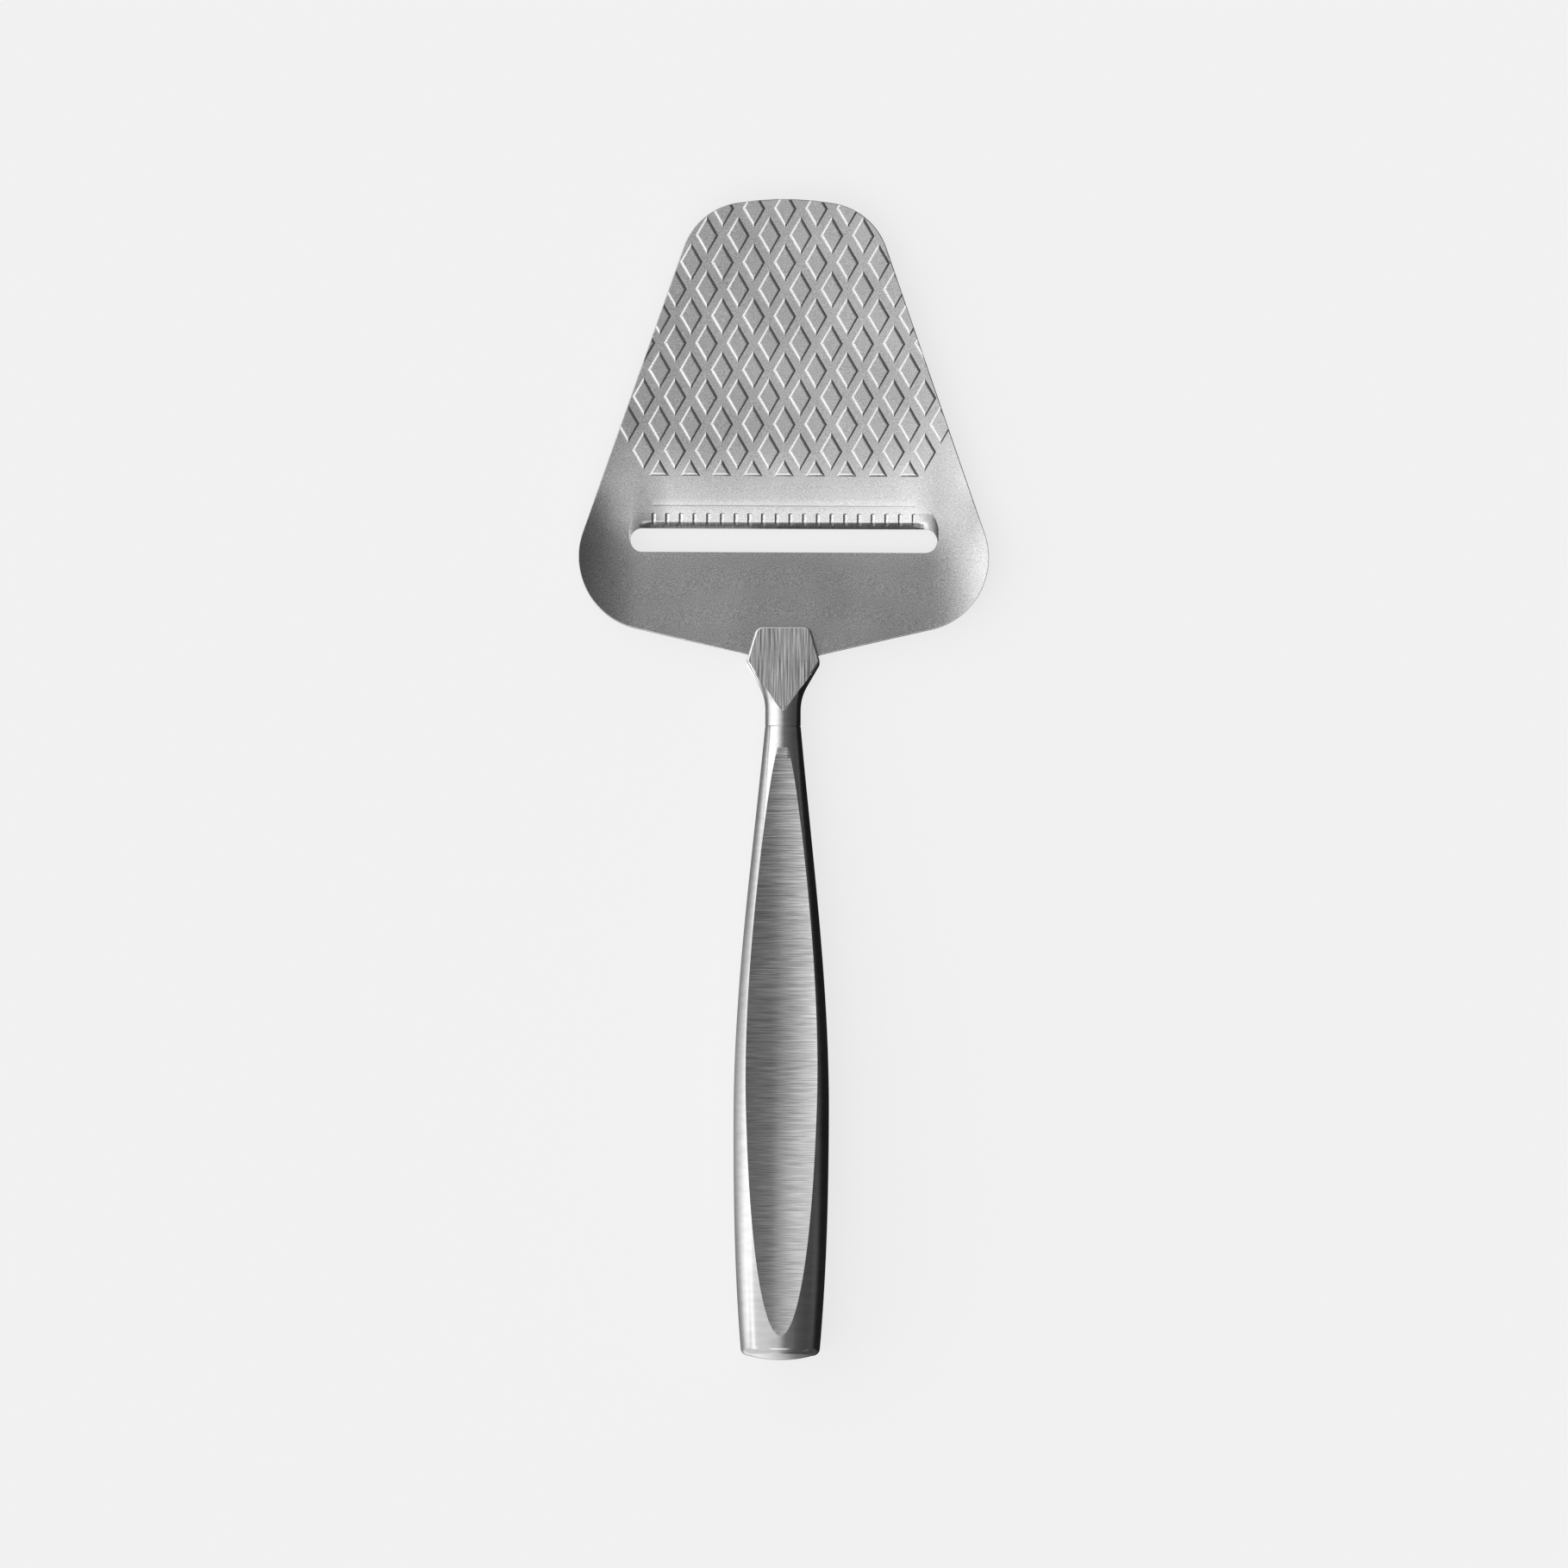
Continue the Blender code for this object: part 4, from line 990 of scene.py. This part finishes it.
# Lamps far away, each as the direction to it and its (cosine of the angle off it, tone)
STUDIO_STRENGTH = 2.0
LEFT_LAMP = (-0.907, 0.193, 0.375)
LEFT_GLOW = (
    (-0.75, 0.05), (-0.1, 0.085), (0.08, 0.1), (0.29, 0.104), (0.34, 0.118), (0.41, 0.19), (0.48, 0.21),
    (0.707, 0.5), (0.878, 0.9), (1.0, 1.0))
NEAR_LAMP = (-0.2, -0.643, 0.766)
NEAR_GLOW = (
    (0.68, 0.0), (0.72, 0.01), (0.751, 0.03), (0.795, 0.15), (0.833, 0.42), (0.859, 0.66), (0.883, 0.82),
    (1.0, 0.92))
FAR_LAMP = (0.0, 1.0, 0.35)
FAR_GLOW = ((0.8, 0.0), (0.93, 0.3), (1.0, 0.3))
# Heights in the sky over which the near lamp comes in, and under which the studio turns as pale as the floor
NEAR_LAMP_RISE = (0.5, 0.72)
UNDER_FLOOR = (-0.01, -0.03)

# The camera looks straight down and sees as much as the photograph
SEEN_WIDTH = 0.3375
CAMERA_PLACE = (0.00028, -0.00088, 1.0)
CAMERA_TURN = math.radians(0.25)


def stage_sheet(name, low, high, material):
    """A flat sheet from its nearer edge to its farther one, each at its own height."""
    bm = bmesh.new()
    (left, near, near_z), (right, far, far_z) = low, high
    corners = ((left, near, near_z), (right, near, near_z), (right, far, far_z), (left, far, far_z))
    bmesh.ops.contextual_create(bm, geom=[bm.verts.new(corner) for corner in corners])
    mesh = bpy.data.meshes.new(name)
    bm.to_mesh(mesh)
    bm.free()
    mesh.materials.append(material)
    made = bpy.data.objects.new(name, mesh)
    bpy.context.scene.collection.objects.link(made)
    return made


def pale_paper():
    """Matt white paper: a plain diffuse floor, lifted to its own pale tone wherever it is seen."""
    material, tree = fresh("pale_paper")
    paper = add(tree, "ShaderNodeBsdfDiffuse", None, {"Color": linear(FLOOR_TONE)})
    path = add(tree, "ShaderNodeLightPath")
    seen = add(tree, "ShaderNodeMath", {"operation": "MAXIMUM"}, {
        0: path.outputs["Is Camera Ray"], 1: path.outputs["Is Glossy Ray"]})
    seen = add(tree, "ShaderNodeMath", {"operation": "MAXIMUM"}, {
        0: seen.outputs["Value"], 1: path.outputs["Is Transmission Ray"]})
    lift = add(tree, "ShaderNodeMath", {"operation": "MULTIPLY"}, {0: seen.outputs["Value"], 1: FLOOR_LIFT})
    glow = add(tree, "ShaderNodeEmission", None, {"Color": linear(PALE), "Strength": lift.outputs["Value"]})
    both = add(tree, "ShaderNodeAddShader", None, {0: paper.outputs["BSDF"], 1: glow.outputs["Emission"]})
    add(tree, "ShaderNodeOutputMaterial", None, {"Surface": both.outputs["Shader"]})
    return material


def tone_along(tree, value, reach, stops):
    """A grey tone that changes with a value between minus and plus its reach."""
    share = add(tree, "ShaderNodeMapRange", None, {"Value": value, "From Min": -reach, "From Max": reach})
    ramp = add(tree, "ShaderNodeValToRGB", None, {"Fac": share.outputs["Result"]})
    set_stops(ramp, [((at / reach + 1.0) / 2, grey(tone)) for at, tone in stops])
    return ramp.outputs["Color"]


def tone_across(tree, place, stops):
    """A tone that changes across the slicer."""
    return tone_along(tree, place.outputs["X"], max(abs(x) for x, _ in stops), stops)


def eased_in(tree, place, start, end):
    """From nothing to all over a stretch along the slicer."""
    return add(tree, "ShaderNodeMapRange", {"interpolation_type": "SMOOTHSTEP"}, {
        "Value": place.outputs["Y"], "From Min": start, "From Max": end}).outputs["Result"]


def card_place(tree):
    place = add(tree, "ShaderNodeTexCoord").outputs["Object"]
    return add(tree, "ShaderNodeSeparateXYZ", None, {"Vector": place})


def painted_reflection_card():
    """Glowing card round the slicer, shaded across it and softly along it from the butt to the tip: its tones
    paint the steel's reflected light and shade.
    """
    material, tree = fresh("painted_reflection_card")
    place = card_place(tree)
    tone = tone_across(tree, place, END_TONES)
    for stops, start, end in CARD_TONES:
        tone = add(tree, "ShaderNodeMix", {"data_type": "RGBA"}, {
            "Factor": eased_in(tree, place, start, end), "A": tone,
            "B": tone_across(tree, place, stops)}).outputs["Result"]
    # The card glows in its painted tones, so the steel reflects painted light and shade
    glow = add(tree, "ShaderNodeEmission", None, {"Color": tone, "Strength": CARD_STRENGTH})
    add(tree, "ShaderNodeOutputMaterial", None, {"Surface": glow.outputs["Emission"]})
    return material


def hung_reflection_card(name, stops, start, end):
    """Glowing card hung by the handle, shaded across it so that the handle reflects painted light and shade;
    it fades in towards the butt.
    """
    material, tree = fresh(name)
    place = card_place(tree)
    clear = add(tree, "ShaderNodeBsdfTransparent")
    glow = add(tree, "ShaderNodeEmission", None, {
        "Color": tone_across(tree, place, stops), "Strength": CARD_STRENGTH})
    both = add(tree, "ShaderNodeMixShader", None, {
        0: eased_in(tree, place, start, end), 1: clear.outputs["BSDF"], 2: glow.outputs["Emission"]})
    add(tree, "ShaderNodeOutputMaterial", None, {"Surface": both.outputs["Shader"]})
    return material


def make_cards():
    """Glowing cards that only the steel's reflections see: painted reflections of light and shade."""
    cards = [stage_sheet(
        "painted_reflection_card", (-FLOOR_REACH, -CARD_REACH, CARD_Z), (FLOOR_REACH, CARD_REACH, CARD_Z), painted_reflection_card())]
    for name, low, high, stops, start, end in HUNG_CARDS:
        cards.append(stage_sheet("card_" + name, low, high, hung_reflection_card(name, stops, start, end)))
    for card in cards:
        card.visible_camera = False
        card.visible_diffuse = False
        card.visible_shadow = False
        card.visible_transmission = False


def make_studio_light():
    """Three soft lamps in one sky: a broad one on the left, one over the handle, a low one past the tip."""
    world = bpy.data.worlds.new("studio")
    bpy.context.scene.world = world
    world.use_nodes = True
    sky = world.node_tree
    sky.nodes.clear()
    towards = add(sky, "ShaderNodeTexCoord").outputs["Generated"]
    height = add(sky, "ShaderNodeSeparateXYZ", None, {"Vector": towards}).outputs["Z"]

    def lamp(direction, stops):
        facing = add(sky, "ShaderNodeVectorMath", {"operation": "DOT_PRODUCT"}, {
            0: towards, 1: Vector(direction).normalized()})
        return tone_along(sky, facing.outputs["Value"], 1.0, stops)

    low, high = NEAR_LAMP_RISE
    above = add(sky, "ShaderNodeMapRange", None, {"Value": height, "From Min": low, "From Max": high})
    near = add(sky, "ShaderNodeVectorMath", {"operation": "SCALE"}, {
        0: lamp(NEAR_LAMP, NEAR_GLOW), "Scale": above.outputs["Result"]})
    both = add(sky, "ShaderNodeVectorMath", {"operation": "ADD"}, {
        0: lamp(LEFT_LAMP, LEFT_GLOW), 1: near.outputs["Vector"]})
    total = add(sky, "ShaderNodeVectorMath", {"operation": "ADD"}, {
        0: both.outputs["Vector"], 1: lamp(FAR_LAMP, FAR_GLOW)})
    light = add(sky, "ShaderNodeBackground", None, {
        "Color": total.outputs["Vector"], "Strength": STUDIO_STRENGTH})
    pale = add(sky, "ShaderNodeBackground", None, {"Color": linear(PALE)})
    start, end = UNDER_FLOOR
    under = add(sky, "ShaderNodeMapRange", None, {"Value": height, "From Min": start, "From Max": end})
    studio = add(sky, "ShaderNodeMixShader", None, {
        0: under.outputs["Result"], 1: light.outputs["Background"], 2: pale.outputs["Background"]})
    add(sky, "ShaderNodeOutputWorld", None, {"Surface": studio.outputs["Shader"]})


def make_camera():
    camera_data = bpy.data.cameras.new("camera")
    camera_data.type = "ORTHO"
    camera_data.ortho_scale = SEEN_WIDTH
    camera = bpy.data.objects.new("camera", camera_data)
    camera.location = CAMERA_PLACE
    camera.rotation_euler = (0.0, 0.0, CAMERA_TURN)
    bpy.context.scene.collection.objects.link(camera)
    bpy.context.scene.camera = camera
    bpy.context.scene.view_settings.view_transform = "Standard"


stage_sheet(
    "floor", (-FLOOR_REACH, -FLOOR_REACH, FLOOR_Z), (FLOOR_REACH, FLOOR_REACH, FLOOR_Z), pale_paper())
make_cards()
make_studio_light()
make_camera()
